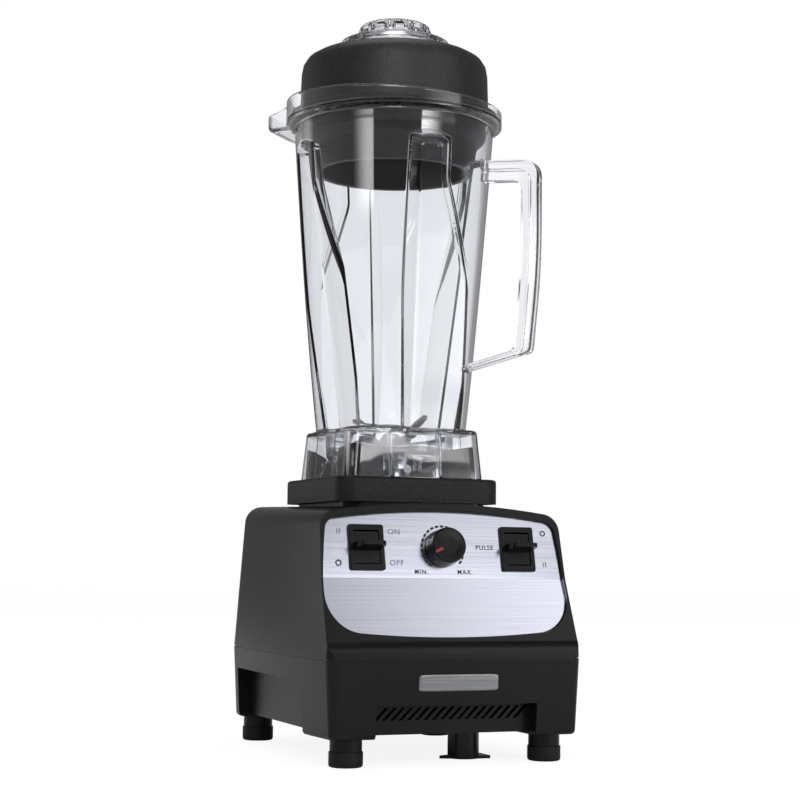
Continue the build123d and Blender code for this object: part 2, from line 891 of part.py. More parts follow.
def motor_plate(level, leg_height, bearing_radius, bearing_level, bearing_up):
    # bracket plate with four legs towards the stack and a bearing seat
    with BuildPart() as plate:
        with BuildSketch(at_axis(level)):
            RectangleRounded(stack_width, stack_depth, stack_corner)
        extrude(amount=plate_thickness)
        leg_level = level if leg_height < 0 else level + plate_thickness
        with BuildSketch(at_axis(leg_level)):
            with GridLocations(2 * bolt_x, 2 * bolt_y, 2, 2):
                Rectangle(yoke, yoke)
        extrude(amount=leg_height)
        with BuildSketch(at_axis(bearing_level)):
            Circle(bearing_radius + 2 * bearing_race)
        extrude(amount=bearing_width * bearing_up)
        with BuildSketch(at_axis(bearing_level)):
            Circle(bearing_radius + seat_gap)
        extrude(amount=bearing_width * bearing_up, mode=Mode.SUBTRACT)
        with BuildSketch(at_axis(level)):
            Circle(bearing_radius - bearing_race)
            with GridLocations(2 * bolt_x, 2 * bolt_y, 2, 2):
                Circle(bolt_radius + seat_gap)
        extrude(amount=2 * stack_height, both=True, mode=Mode.SUBTRACT)
    return plate.part


upper_bearing_level = bracket_bottom + bearing_step
lower_bearing_level = low_plate_bottom + plate_thickness - bearing_step - bearing_width

with BuildPart() as upper_bracket:
    with BuildSketch(at_axis(bracket_bottom)):
        with GridLocations(0, 2 * ear_y, 1, 2):
            SlotOverall(2 * (ear_x + ear_radius), 2 * ear_radius)
        Circle(upper_bearing_radius, mode=Mode.SUBTRACT)
    extrude(amount=plate_thickness)
    add(motor_plate(bracket_bottom, -bracket_leg, upper_bearing_radius, upper_bearing_level, 1))
    with BuildSketch(at_axis(bracket_bottom)):
        with GridLocations(2 * ear_x, 2 * ear_y, 2, 2):
            Circle(motor_screw_radius + loose_gap)
    extrude(amount=plate_thickness, mode=Mode.SUBTRACT)
finish(upper_bracket, "upper_bracket")

with BuildPart() as lower_bracket:
    lower_seat = lower_bearing_level + bearing_width
    add(motor_plate(low_plate_bottom, 2 * bracket_leg, lower_bearing_radius, lower_seat, -1))
finish(lower_bracket, "lower_bracket")


def bearing(level, outer, inner, width, name):
    with BuildPart() as ring:
        with BuildSketch(at_axis(level)):
            Circle(outer)
            Circle(inner, mode=Mode.SUBTRACT)
        extrude(amount=width)
        groove = (outer + inner) / 2
        with BuildSketch(at_axis(level)):
            Circle(groove + bearing_race / 2)
            Circle(groove - bearing_race / 2, mode=Mode.SUBTRACT)
        extrude(amount=bearing_groove, mode=Mode.SUBTRACT)
        with BuildSketch(at_axis(level + width)):
            Circle(groove + bearing_race / 2)
            Circle(groove - bearing_race / 2, mode=Mode.SUBTRACT)
        extrude(amount=-bearing_groove, mode=Mode.SUBTRACT)
    finish(ring, name)


bearing(upper_bearing_level, upper_bearing_radius, shaft_radius + run_gap, bearing_width, "upper_bearing")
bearing(lower_bearing_level, lower_bearing_radius, shaft_radius + run_gap, bearing_width, "lower_bearing")

# Stator stack: yoke with two pole necks and curved shoes, wound with two field coils
with BuildPart() as motor_stator:
    with BuildSketch(at_axis(stack_bottom)):
        RectangleRounded(stack_width, stack_depth, stack_corner)
        Rectangle(stack_width - 2 * yoke, stack_depth - 2 * yoke, mode=Mode.SUBTRACT)
        with GridLocations(2 * bolt_x, 2 * bolt_y, 2, 2):
            Rectangle(yoke, yoke)
        Rectangle(stack_width, pole_neck)
        Circle(shoe_radius)
        with GridLocations(0, 2 * (shoe_half_depth + shoe_radius), 1, 2):
            Rectangle(2 * shoe_radius, 2 * shoe_radius, mode=Mode.SUBTRACT)
        Circle(bore_radius, mode=Mode.SUBTRACT)
        with GridLocations(2 * bolt_x, 2 * bolt_y, 2, 2):
            Circle(bolt_radius + seat_gap, mode=Mode.SUBTRACT)
        with GridLocations(0, stack_depth - yoke, 1, 2):
            Rectangle(stack_width - 2 * yoke, yoke)
    extrude(amount=stack_height)
finish(motor_stator, "motor_stator")

coil_in = shoe_radius + coil_gap
coil_out = stack_width / 2 - yoke - coil_gap
coil_half = stack_depth / 2 - yoke - coil_gap

with BuildPart() as field_coils:
    for side in (-1, 1):
        stack_middle = (stack_bottom + stack_top) / 2
        coil_origin = (side * coil_in, jar_offset, stack_middle)
        coil_face = Plane(origin=coil_origin, x_dir=(0, 1, 0), z_dir=(side, 0, 0))
        with BuildSketch(coil_face):
            RectangleRounded(2 * coil_half, stack_height + 2 * coil_overhang, coil_overhang)
            Rectangle(pole_neck + 2 * coil_gap, stack_height + 2 * coil_gap, mode=Mode.SUBTRACT)
        extrude(amount=coil_out - coil_in)
finish(field_coils, "field_coils")

with BuildPart() as motor_bolts:
    with BuildSketch(at_axis(bracket_top)):
        with GridLocations(2 * bolt_x, 2 * bolt_y, 2, 2):
            Circle(bolt_radius)
    extrude(amount=-(bracket_top - low_plate_bottom + bolt_radius))
    with BuildSketch(at_axis(bracket_top)):
        with GridLocations(2 * bolt_x, 2 * bolt_y, 2, 2):
            RegularPolygon(2 * bolt_radius, 6)
    extrude(amount=bolt_radius)
finish(motor_bolts, "motor_bolts")

with BuildPart() as motor_isolators:
    with BuildSketch(at_axis(bracket_top)):
        with GridLocations(2 * ear_x, 2 * ear_y, 2, 2):
            Circle(isolator_radius)
            Circle(motor_screw_radius + loose_gap, mode=Mode.SUBTRACT)
    extrude(amount=isolator_height)
finish(motor_isolators, "motor_isolators")

with BuildPart() as motor_screws:
    with BuildSketch(at_axis(bracket_bottom)):
        with GridLocations(2 * ear_x, 2 * ear_y, 2, 2):
            Circle(2 * motor_screw_radius)
    extrude(amount=-motor_screw_radius)
    with BuildSketch(at_axis(bracket_bottom)):
        with GridLocations(2 * ear_x, 2 * ear_y, 2, 2):
            Circle(motor_screw_radius)
    extrude(amount=isolator_top + boss_radius - motor_screw_radius - bracket_bottom)
finish(motor_screws, "motor_screws")

# Brush gear across the commutator, front and back of the shaft
commutator_level = low_plate_top + holder_wall
brush_level = commutator_level + commutator_height / 2
brush_start = commutator_radius + run_gap
holder_start = brush_start + brush_height / 2
holder_end = stack_depth / 2 - yoke / 2


def brush_plane(side, distance):
    return Plane(origin=(0, jar_offset + side * distance, brush_level), x_dir=(1, 0, 0), z_dir=(0, side, 0))


with BuildPart() as brush_holders:
    for side in (-1, 1):
        with BuildSketch(brush_plane(side, holder_start)):
            Rectangle(brush_width + 2 * holder_wall, brush_height + 2 * holder_wall)
        extrude(amount=holder_end - holder_start)
        with BuildSketch(Plane.XY.offset(low_plate_top)):
            with Locations((0, jar_offset + side * (holder_start + holder_end) / 2)):
                Rectangle(brush_width, (holder_end - holder_start) / 2)
        extrude(amount=brush_level - low_plate_top)
        with BuildSketch(brush_plane(side, holder_start)):
            Rectangle(brush_width + 2 * seat_gap, brush_height + 2 * seat_gap)
        extrude(amount=holder_end - holder_start - holder_wall, mode=Mode.SUBTRACT)
finish(brush_holders, "brush_holders")

with BuildPart() as carbon_brushes:
    for side in (-1, 1):
        with BuildSketch(brush_plane(side, brush_start)):
            Rectangle(brush_width, brush_height)
        extrude(amount=brush_length)
    with BuildSketch(at_axis(commutator_level)):
        Circle(brush_start)
    extrude(amount=commutator_height, mode=Mode.SUBTRACT)
finish(carbon_brushes, "carbon_brushes")

# Rotor: shaft, slotted core, end turns, commutator, fan and the splined drive socket
fan_level = floor_top + fan_gap
fan_top = fan_level + fan_height - 2 * fan_gap
spline_bottom = jar_seat - spline_length + 2 * fan_gap
socket_top = jar_seat + fan_gap
socket_bottom = socket_top - socket_height
shaft_top = spline_bottom - fan_gap
armature_radius = bore_radius - air_gap

with BuildPart() as motor_shaft:
    with BuildSketch(at_axis(fan_level)):
        Circle(shaft_radius)
    extrude(amount=shaft_top - fan_level)
    chamfer(motor_shaft.edges().filter_by(GeomType.CIRCLE), shaft_chamfer)
finish(motor_shaft, "motor_shaft")

with BuildPart() as armature_core:
    with BuildSketch(at_axis(stack_bottom)):
        Circle(armature_radius)
        Circle(shaft_radius + seat_gap, mode=Mode.SUBTRACT)
        with PolarLocations(slot_centre, core_slots):
            Circle(slot_radius, mode=Mode.SUBTRACT)
        with PolarLocations(armature_radius, core_slots):
            Rectangle(2 * (armature_radius - slot_centre), slot_mouth, mode=Mode.SUBTRACT)
    extrude(amount=stack_height)
finish(armature_core, "armature_core")

with BuildPart() as armature_winding:
    for level, rise in ((stack_top, coil_overhang), (stack_bottom, -coil_overhang)):
        with BuildSketch(at_axis(level)):
            Circle(winding_radius)
            Circle(shaft_radius + seat_gap, mode=Mode.SUBTRACT)
        extrude(amount=rise)
    fillet(armature_winding.faces().sort_by(Axis.Z)[-1].outer_wire().edges(), winding_round)
    fillet(armature_winding.faces().sort_by(Axis.Z)[0].outer_wire().edges(), winding_round)
finish(armature_winding, "armature_winding")

with BuildPart() as commutator:
    with BuildSketch(at_axis(commutator_level)):
        Circle(commutator_radius)
        Circle(shaft_radius + seat_gap, mode=Mode.SUBTRACT)
    extrude(amount=commutator_height)
finish(commutator, "commutator")

with BuildPart() as cooling_fan:
    with BuildSketch(at_axis(fan_top)):
        Circle(fan_radius)
    extrude(amount=-fan_gap)
    with BuildSketch(at_axis(fan_top)):
        Circle(2 * shaft_radius)
        with PolarLocations(fan_blade_centre, fan_blades):
            Rectangle(fan_blade_length, fan_blade_thickness, rotation=fan_blade_turn)
    extrude(amount=-(fan_top - fan_level))
    with BuildSketch(at_axis(fan_level)):
        Circle(shaft_radius + seat_gap)
    extrude(amount=fan_height, mode=Mode.SUBTRACT)
finish(cooling_fan, "cooling_fan")


def spline_outline(root, tip, tooth_width):
    Circle(root)
    with PolarLocations(0, spline_teeth):
        with Locations((tip / 2, 0)):
            Rectangle(tip, tooth_width)


with BuildPart() as drive_socket:
    with BuildSketch(at_axis(socket_bottom)):
        Circle(socket_radius)
    extrude(amount=socket_height)
    chamfer(drive_socket.faces().sort_by(Axis.Z)[-1].edges(), socket_chamfer)
    with BuildSketch(at_axis(upper_bearing_level + bearing_width)):
        Circle(2 * shaft_radius)
    extrude(amount=socket_bottom - upper_bearing_level - bearing_width)
    with BuildSketch(at_axis(upper_bearing_level + bearing_width)):
        Circle(shaft_radius + seat_gap)
    extrude(amount=shaft_top - upper_bearing_level - bearing_width + seat_gap, mode=Mode.SUBTRACT)
    with BuildSketch(at_axis(socket_top)):
        spline_outline(spline_root + spline_gap, spline_tip + spline_gap, tooth_width + 2 * spline_gap)
    extrude(amount=spline_bottom - slide_gap - socket_top, mode=Mode.SUBTRACT)
finish(drive_socket, "drive_socket")

# Blade unit in the jar floor: housing, gasket, nut, two bearings, seal, shaft and two blades
unit_flange_level = bowl_floor + gasket_height
unit_top = unit_flange_level + unit_flange_height
unit_bottom = socket_top + fan_gap
low_blade_bearing = unit_bottom + gasket_height
high_blade_bearing = unit_top - 2 * blade_bearing_width
seal_level = unit_top - blade_bearing_width / 2
blade_level = unit_top + gasket_height

with BuildPart() as bearing_housing:
    with BuildSketch(at_axis(unit_bottom)):
        Circle(unit_radius)
    extrude(amount=unit_top - unit_bottom)
    with BuildSketch(at_axis(unit_flange_level)):
        Circle(unit_flange)
    extrude(amount=unit_flange_height)
    chamfer(bearing_housing.faces().sort_by(Axis.Z)[-1].edges(), unit_chamfer)
    with BuildSketch(at_axis(unit_bottom)):
        Circle(blade_bearing_radius + seat_gap)
    extrude(amount=high_blade_bearing + blade_bearing_width - unit_bottom, mode=Mode.SUBTRACT)
    with BuildSketch(at_axis(unit_bottom)):
        Circle(blade_shaft_radius + slide_gap)
    extrude(amount=unit_top - unit_bottom, mode=Mode.SUBTRACT)
    with BuildSketch(at_axis(seal_level)):
        Circle(2 * blade_shaft_radius - gasket_height + seat_gap)
    extrude(amount=unit_top - seal_level, mode=Mode.SUBTRACT)
finish(bearing_housing, "bearing_housing")

with BuildPart() as jar_gasket:
    with BuildSketch(at_axis(bowl_floor)):
        Circle(unit_flange)
        Circle(unit_radius + loose_gap, mode=Mode.SUBTRACT)
    extrude(amount=gasket_height)
finish(jar_gasket, "jar_gasket")

with BuildPart() as retainer_nut:
    with BuildSketch(at_axis(jar_floor)):
        Circle(unit_nut_radius)
        with PolarLocations(unit_nut_radius, nut_notches):
            Circle(nut_notch, mode=Mode.SUBTRACT)
        Circle(unit_radius + seat_gap, mode=Mode.SUBTRACT)
    extrude(amount=-unit_nut_height)
finish(retainer_nut, "retainer_nut")

with BuildPart() as blade_bearings:
    for level in (low_blade_bearing, high_blade_bearing):
        with BuildSketch(at_axis(level)):
            Circle(blade_bearing_radius)
            Circle(blade_shaft_radius + run_gap, mode=Mode.SUBTRACT)
        extrude(amount=blade_bearing_width)
finish(blade_bearings, "blade_bearings")

with BuildPart() as shaft_seal:
    with BuildSketch(at_axis(seal_level)):
        Circle(2 * blade_shaft_radius - gasket_height)
        Circle(blade_shaft_radius + run_gap, mode=Mode.SUBTRACT)
    extrude(amount=unit_top - seal_level)
finish(shaft_seal, "shaft_seal")

cap_level = blade_level + 2 * blade_thickness
with BuildPart() as blade_shaft:
    with BuildSketch(at_axis(spline_bottom)):
        spline_outline(spline_root, spline_tip, tooth_width)
    extrude(amount=spline_length)
    with BuildSketch(at_axis(spline_bottom)):
        Circle(blade_shaft_radius)
    extrude(amount=cap_level + cap_height / 2 - spline_bottom)
    with BuildSketch(at_axis(blade_level)):
        Circle(shaft_collar)
    extrude(amount=-(gasket_height - run_gap))
finish(blade_shaft, "blade_shaft")


def blade(level, turn, bend, name):
    # two-armed blade: flat hub, arms bent up or down along a crease, bevelled leading edges
    arm = blade_radius - blade_flat
    rise = arm * tan(radians(bend))
    spoke = Plane(origin=(0, jar_offset, level), x_dir=(cos(radians(turn)), sin(radians(turn)), 0))
    across = Plane(origin=spoke.origin, x_dir=spoke.x_dir, z_dir=spoke.y_dir)
    with BuildPart() as knife:
        with BuildSketch(across):
            Polygon(
                (-blade_radius, -rise),
                (-blade_flat, 0),
                (blade_flat, 0),
                (blade_radius, -rise),
                (blade_radius, -rise - blade_thickness),
                (blade_flat, -blade_thickness),
                (-blade_flat, -blade_thickness),
                (-blade_radius, -rise - blade_thickness),
                align=None,
            )
        extrude(amount=blade_radius, both=True)
        with BuildSketch(spoke.offset(-blade_radius)):
            Polygon(
                (-blade_radius, -blade_width / 2),
                (-blade_flat, -blade_width / 2),
                (blade_flat, -blade_width / 2),
                (blade_radius, blade_width / 2 - blade_tip),
                (blade_radius, blade_width / 2),
                (blade_flat, blade_width / 2),
                (-blade_flat, blade_width / 2),
                (-blade_radius, blade_tip - blade_width / 2),
                align=None,
            )
            Circle(blade_radius, mode=Mode.INTERSECT)
        extrude(amount=2 * blade_radius, mode=Mode.INTERSECT)
        with BuildSketch(spoke.offset(-blade_radius)):
            Circle(blade_shaft_radius + seat_gap)
        extrude(amount=2 * blade_radius, mode=Mode.SUBTRACT)
    finish(knife, name)


blade(blade_level, blade_turn, lower_bend, "lower_blade")
blade(blade_level + blade_thickness, blade_turn + blade_cross, upper_bend, "upper_blade")

with BuildPart() as blade_cap_nut:
    with BuildSketch(at_axis(cap_level)):
        RegularPolygon(cap_hex, 6)
    extrude(amount=cap_height / 2)
    with BuildSketch(at_axis(cap_level + cap_height / 2)):
        Circle(cap_radius)
    extrude(amount=cap_height / 2)
    fillet(blade_cap_nut.faces().sort_by(Axis.Z)[-1].edges(), cap_round)
    with BuildSketch(at_axis(cap_level)):
        Circle(blade_shaft_radius + seat_gap)
    extrude(amount=cap_height / 2 + seat_gap, mode=Mode.SUBTRACT)
finish(blade_cap_nut, "blade_cap_nut")

# Jar body: flared round wall, flattened on four faces, each face with one slanted baffle flute


def flute(inset):
    # tool for one flute on the front face: leaning flat floor, left wall that opens upwards, arched roof
    flute_top = jar_neck_height - flute_drop
    lean = atan((flute_high - flute_low) / flute_top)
    floor_origin = (0, -flute_low + inset / cos(lean), shoulder)
    floor = Plane(origin=floor_origin, x_dir=(1, 0, 0), z_dir=(0, -cos(lean), -sin(lean)))
    low = -skirt_height
    sweep = (jar_neck_height - flute_sweep_drop) / cos(lean)

    def spread(wall, lift):
        return inset * tan(radians(45 - wall / 2)) + lift * tan(radians(wall))

    with BuildPart() as tool:
        for lift in (0, jar_neck_radius - flute_low):
            left_low = flute_left_low - spread(flute_low_wall, lift)
            left_high = flute_left_high - spread(flute_high_wall, lift)
            right = flute_right + spread(flute_right_wall, lift)
            far = jar_neck_radius + right
            top = flute_top / cos(lean) + inset
            peak = top + flute_crown + lift * tan(radians(flute_roof))
            with BuildSketch(floor.offset(lift)):
                with BuildLine():
                    Polyline((far, low), (left_low, low), (left_high, top))
                    ThreePointArc((left_high, top), ((left_high + right) / 2, peak), (right, top))
                    Polyline((right, top), (right, sweep), (far, low))
                make_face()
        loft(ruled=True)
    return tool.part


def jar_form(inset, low_step):
    with BuildPart() as form:
        with BuildSketch(meridian):
            with BuildLine():
                Polyline(
                    (0, neck_top),
                    (0, shoulder - low_step),
                    (bowl_radius - inset, shoulder - low_step),
                    (bowl_radius - inset, shoulder),
                    (jar_low_radius - inset, shoulder),
                )
                ThreePointArc(
                    (jar_low_radius - inset, shoulder),
                    (jar_mid_radius - inset, shoulder + jar_mid_height),
                    (jar_neck_radius - inset, neck_top),
                )
                Line((jar_neck_radius - inset, neck_top), (0, neck_top))
            make_face()
        revolve(axis=jar_axis)
        high_face = face_low + face_slope * jar_neck_height
        with BuildSketch(at_axis(shoulder - skirt_height)):
            Rectangle(
                2 * (face_low - face_slope * skirt_height - inset),
                2 * (face_low - face_slope * skirt_height - inset),
            )
        with BuildSketch(at_axis(neck_top)):
            Rectangle(2 * (high_face - inset), 2 * (high_face - inset))
        loft(ruled=True, mode=Mode.INTERSECT)
        with Locations((0, jar_offset, 0)):
            with PolarLocations(0, 4):
                add(flute(inset), mode=Mode.SUBTRACT)
    return form.part


# Rim: ledge for the lid and a collar whose top edge slants up towards the spout
spout_plane = Plane(
    origin=(0, jar_offset, 0),
    x_dir=(cos(radians(spout_turn)), sin(radians(spout_turn)), 0),
)
spout_side = Plane(origin=(0, jar_offset, 0), x_dir=spout_plane.x_dir, z_dir=-spout_plane.y_dir)
handle_side = Plane(
    origin=(0, jar_offset, 0),
    x_dir=(cos(radians(handle_turn)), sin(radians(handle_turn)), 0),
    z_dir=(sin(radians(handle_turn)), -cos(radians(handle_turn)), 0),
)
rim_inner = collar_radius - collar_wall
neck_inner = jar_neck_radius - jar_wall
collar_mid = ledge + collar_height


def spout_form(inset):
    # spout: straight cheeks with a round end in plan, its front curling back down to a flat floor
    half = spout_half - inset
    reach = spout_reach - inset
    floor_level = collar_mid + collar_slant - spout_drop + inset
    with BuildPart() as form:
        with BuildSketch(spout_plane.offset(floor_level)):
            with Locations((reach / 2 - half / 2, 0)):
                Rectangle(reach - half, 2 * half)
            with Locations((reach - half, 0)):
                Circle(half)
        extrude(amount=lid_top - floor_level)
        curl_top = (reach, floor_level - inset + spout_curl)
        curl_foot = (spout_floor_reach - inset, floor_level)
        with BuildSketch(spout_side):
            with BuildLine():
                Polyline((0, lid_top), (0, floor_level), curl_foot)
                TangentArc(curl_top, curl_foot, tangent=(0, -1))
                Polyline(curl_top, (reach, lid_top), (0, lid_top))
            make_face()
        extrude(amount=spout_reach, both=True, mode=Mode.INTERSECT)
    return form.part


def handle_loop(arm, depth, low_arm, width):
    # closed loop in the handle's plane: sloping top arm, grip bent in at its lower end, thin low arm
    grip_top = shoulder + jar_neck_height - handle_drop
    grip_bend = shoulder + handle_bend
    grip_foot = shoulder + handle_foot
    low_root = shoulder + handle_low_root
    root = jar_low_radius - jar_wall
    top_fall = handle_top_fall / (handle_reach - root)
    low_rise = (handle_foot - handle_low_root) / (handle_foot_reach - root)
    grip = handle_reach - depth
    foot = handle_foot_reach - depth
    with BuildPart() as loop:
        with BuildSketch(handle_side):
            with BuildLine():
                FilletPolyline(
                    (root, grip_top),
                    (handle_reach, grip_top - handle_top_fall),
                    (handle_reach, grip_bend),
                    (handle_foot_reach, grip_foot),
                    (root, low_root),
                    radius=[handle_outer_round, handle_bend_round, handle_foot_round],
                )
                Line((root, low_root), (root, low_root + low_arm))
                FilletPolyline(
                    (root, low_root + low_arm),
                    (foot, low_root + low_arm + low_rise * (foot - root)),
                    (grip, grip_bend),
                    (grip, grip_top - arm - top_fall * (grip - root)),
                    (root, grip_top - arm),
                    radius=[handle_foot_round, handle_bend_round, handle_inner_round],
                )
                Line((root, grip_top - arm), (root, grip_top))
            make_face()
        extrude(amount=width / 2, both=True)
    return loop.part


with BuildPart() as jar:
    # handle: T-shaped in section, a wide outer flange on a narrower web
    add(handle_loop(handle_flange, handle_flange, handle_low_flange, handle_width))
    add(handle_loop(handle_arm, handle_depth, handle_low_arm, handle_web))
    # wall and rim
    add(jar_form(0, jar_wall))
    with BuildSketch(meridian):
        with BuildLine():
            Polyline(
                (0, neck_top - jar_wall),
                (jar_neck_radius, neck_top - jar_wall),
                (jar_neck_radius, neck_top),
                (collar_radius, ledge - collar_wall),
                (collar_radius, collar_mid + collar_slant),
                (0, collar_mid + collar_slant),
                close=True,
            )
        make_face()
    revolve(axis=jar_axis)
    add(spout_form(0))
    # skirt with rounded shoulder
    with BuildSketch(at_axis(jar_seat)):
        RectangleRounded(2 * skirt_low, 2 * skirt_low, skirt_corner)
    with BuildSketch(at_axis(shoulder)):
        RectangleRounded(2 * skirt_high, 2 * skirt_high, skirt_corner)
    loft(ruled=True)
    with BuildSketch(at_axis(jar_seat)):
        inner_low = skirt_low - skirt_wall
        RectangleRounded(2 * inner_low, 2 * inner_low, skirt_corner - skirt_wall)
    with BuildSketch(at_axis(shoulder - jar_wall)):
        inner_high = skirt_high - skirt_wall
        RectangleRounded(2 * inner_high, 2 * inner_high, skirt_corner - skirt_wall)
    loft(ruled=True, mode=Mode.SUBTRACT)
    # bowl below the shoulder, with thin webs to the skirt
    with BuildSketch(at_axis(jar_floor)):
        Circle(bowl_radius)
        with PolarLocations(0, 4):
            with GridLocations(0, 2 * web_offset, 1, 2):
                with Locations((skirt_high / 2, 0)):
                    Rectangle(skirt_high, web_thickness)
    extrude(amount=bowl_drop)
    # cavity: baffled body, bowl, lid seat, spout channel, slanted rim and the hole for the blade unit
    add(jar_form(jar_wall, jar_wall), mode=Mode.SUBTRACT)
    with BuildSketch(meridian):
        with BuildLine():
            bowl_inner = bowl_radius - jar_wall
            Polyline((0, shoulder), (0, bowl_floor), (bowl_inner - jar_wall, bowl_floor))
            RadiusArc((bowl_inner - jar_wall, bowl_floor), (bowl_inner, bowl_floor + jar_wall), -jar_wall)
            Polyline((bowl_inner, bowl_floor + jar_wall), (bowl_inner, shoulder - jar_wall))
            Polyline((bowl_inner, shoulder - jar_wall), (0, shoulder - jar_wall), (0, shoulder))
        make_face()
    revolve(axis=jar_axis, mode=Mode.SUBTRACT)
    with BuildSketch(meridian):
        Polygon(
            (0, neck_top - jar_wall),
            (neck_inner, neck_top - jar_wall),
            (neck_inner, ledge),
            (rim_inner, ledge),
            (rim_inner, lid_top),
            (0, lid_top),
            align=None,
        )
    revolve(axis=jar_axis, mode=Mode.SUBTRACT)
    add(spout_form(collar_wall), mode=Mode.SUBTRACT)
    with BuildSketch(spout_side):
        Polygon(
            (-spout_reach * 2, collar_mid - 2 * collar_slant),
            (spout_reach * 2, collar_mid + 2 * collar_slant),
            (spout_reach * 2, lid_top),
            (-spout_reach * 2, lid_top),
            align=None,
        )
    extrude(amount=spout_reach, both=True, mode=Mode.SUBTRACT)
    with BuildSketch(at_axis(jar_floor)):
        Circle(unit_radius + loose_gap)
    extrude(amount=bowl_drop, mode=Mode.SUBTRACT)
finish(jar, "jar")

# Interlock: magnet on the inside of the skirt's front, reed switch under the housing top
magnet_z = jar_seat + magnet_height
skirt_lean = (skirt_low - skirt_high) / (skirt_height - jar_wall)
magnet_y = skirt_low - skirt_wall - skirt_lean * (magnet_z - jar_seat) - seat_gap
magnet_plane = Plane(
    origin=(magnet_x, jar_offset - magnet_y, magnet_z),
    x_dir=(1, 0, 0),
    z_dir=(0, cos(atan(skirt_lean)), -sin(atan(skirt_lean))),
)

with BuildPart() as jar_magnet:
    with BuildSketch(magnet_plane):
        Circle(magnet_radius)
    extrude(amount=magnet_radius / 2)
finish(jar_magnet, "jar_magnet")

reed_y = reed_width - neck_width / 2
with BuildPart() as reed_switch:
    with BuildSketch(at_axis(pad_bottom - neck_height - shoulder_drop_front)):
        with Locations((0, reed_y)):
            RectangleRounded(reed_length, reed_width, reed_depth / 2)
    extrude(amount=-reed_depth)
finish(reed_switch, "reed_switch")

# Lid: one rubber moulding with a flange on the jar's ledge and a tapered collar inside the jar
with BuildPart() as lid:
    with BuildSketch(meridian):
        with BuildLine():
            Polyline(
                (plug_hole, lid_top),
                (lid_top_radius - lid_round, lid_top),
            )
            RadiusArc((lid_top_radius - lid_round, lid_top), (lid_top_radius, lid_top - lid_round), lid_round)
            Polyline(
                (lid_top_radius, lid_top - lid_round),
                (lid_radius, ledge + lid_flange),
                (lid_flange_radius, ledge + lid_flange),
                (lid_flange_radius, ledge),
                (lid_collar_radius, ledge),
                (lid_collar_radius, ledge - lid_collar_straight),
                (lid_collar_step, ledge - lid_collar_step_drop),
                (lid_collar_tip, ledge - lid_collar_drop),
                (lid_collar_tip - lid_wall, ledge - lid_collar_drop),
                (lid_collar_step - lid_wall, ledge - lid_collar_step_drop),
                (lid_collar_radius - lid_wall, ledge - lid_collar_straight),
                (lid_collar_radius - lid_wall, lid_top - 2 * lid_wall),
                (plug_hole, lid_top - 2 * lid_wall),
                (plug_hole, lid_top),
            )
        make_face()
    revolve(axis=jar_axis)
finish(lid, "lid")

# Lid plug: clear cup with a wide flange and a faceted knob on top
plug_cup = plug_hole - slide_gap
with BuildPart() as lid_plug:
    with BuildSketch(meridian):
        with BuildLine():
            Polyline(
                (0, lid_top + plug_flange + plug_knob_height),
                (plug_knob_radius - plug_wall, lid_top + plug_flange + plug_knob_height),
                (plug_knob_radius, lid_top + plug_flange + plug_knob_height - plug_wall),
                (plug_knob_radius + plug_wall, lid_top + plug_flange),
                (plug_flange_radius - plug_lip, lid_top + plug_flange),
                (plug_flange_radius, lid_top + plug_flange - plug_lip),
                (plug_flange_radius, lid_top),
                (plug_cup, lid_top),
                (plug_cup, lid_top - plug_drop),
                (plug_cup - plug_wall, lid_top - plug_drop),
                (plug_cup - plug_wall, lid_top + plug_flange - plug_wall),
                (plug_knob_radius - plug_wall, lid_top + plug_flange),
                (plug_knob_radius - 2 * plug_wall, lid_top + plug_flange + plug_knob_height - 2 * plug_wall),
                (0, lid_top + plug_flange + plug_knob_height - 2 * plug_wall),
                close=True,
            )
        make_face()
    revolve(axis=jar_axis)
    rim = lid_plug.faces().filter_by(Plane.XY).sort_by(Axis.Z)[-2]
    fillet(rim.outer_wire().edges(), plug_wall / 2)
    with BuildSketch(at_axis(lid_top + plug_flange)):
        with PolarLocations(plug_knob_radius + plug_scallop_out, plug_facets):
            Circle(plug_scallop)
    extrude(amount=plug_knob_height, mode=Mode.SUBTRACT)
finish(lid_plug, "lid_plug")

# Cord gland in the back wall, with its nut flange outside
with BuildPart() as cord_gland:
    gland_plane = Plane(origin=(gland_x, recess_y, gland_z), x_dir=(1, 0, 0), z_dir=(0, 1, 0))
    with BuildSketch(gland_plane):
        Circle(gland_flange)
    extrude(amount=tray_wall)
    with BuildSketch(gland_plane):
        Circle(gland_radius)
    extrude(amount=-2 * tray_wall)
    with BuildSketch(gland_plane.offset(-tray_wall)):
        RegularPolygon(gland_flange, 6)
    extrude(amount=-tray_wall)
    fillet(cord_gland.faces().sort_by(Axis.Y)[-1].edges(), gland_round)
    with BuildSketch(gland_plane.offset(tray_wall)):
        Circle(gland_bore)
    extrude(amount=-4 * tray_wall, mode=Mode.SUBTRACT)
finish(cord_gland, "cord_gland")

# Overload reset: breaker body on the tray floor, button through the floor
with BuildPart() as reset_switch:
    with BuildSketch(Plane.XY.offset(floor_top)):
        with Locations((reset_x, reset_y)):
            Circle(reset_radius)
    extrude(amount=2 * reset_radius)
    with BuildSketch(Plane.XY.offset(floor_top)):
        with Locations((reset_x, reset_y)):
            Circle(reset_button_radius + slide_gap)
    extrude(amount=reset_reach + reset_travel, mode=Mode.SUBTRACT)
finish(reset_switch, "reset_switch")

with BuildPart() as reset_button:
    button_bottom = floor_under - reset_travel / 2
    with BuildSketch(Plane.XY.offset(button_bottom)):
        with Locations((reset_x, reset_y)):
            Circle(reset_button_radius)
    extrude(amount=floor_top + reset_reach - slide_gap - button_bottom)
    fillet(reset_button.faces().sort_by(Axis.Z)[0].edges(), reset_round)
finish(reset_button, "reset_button")

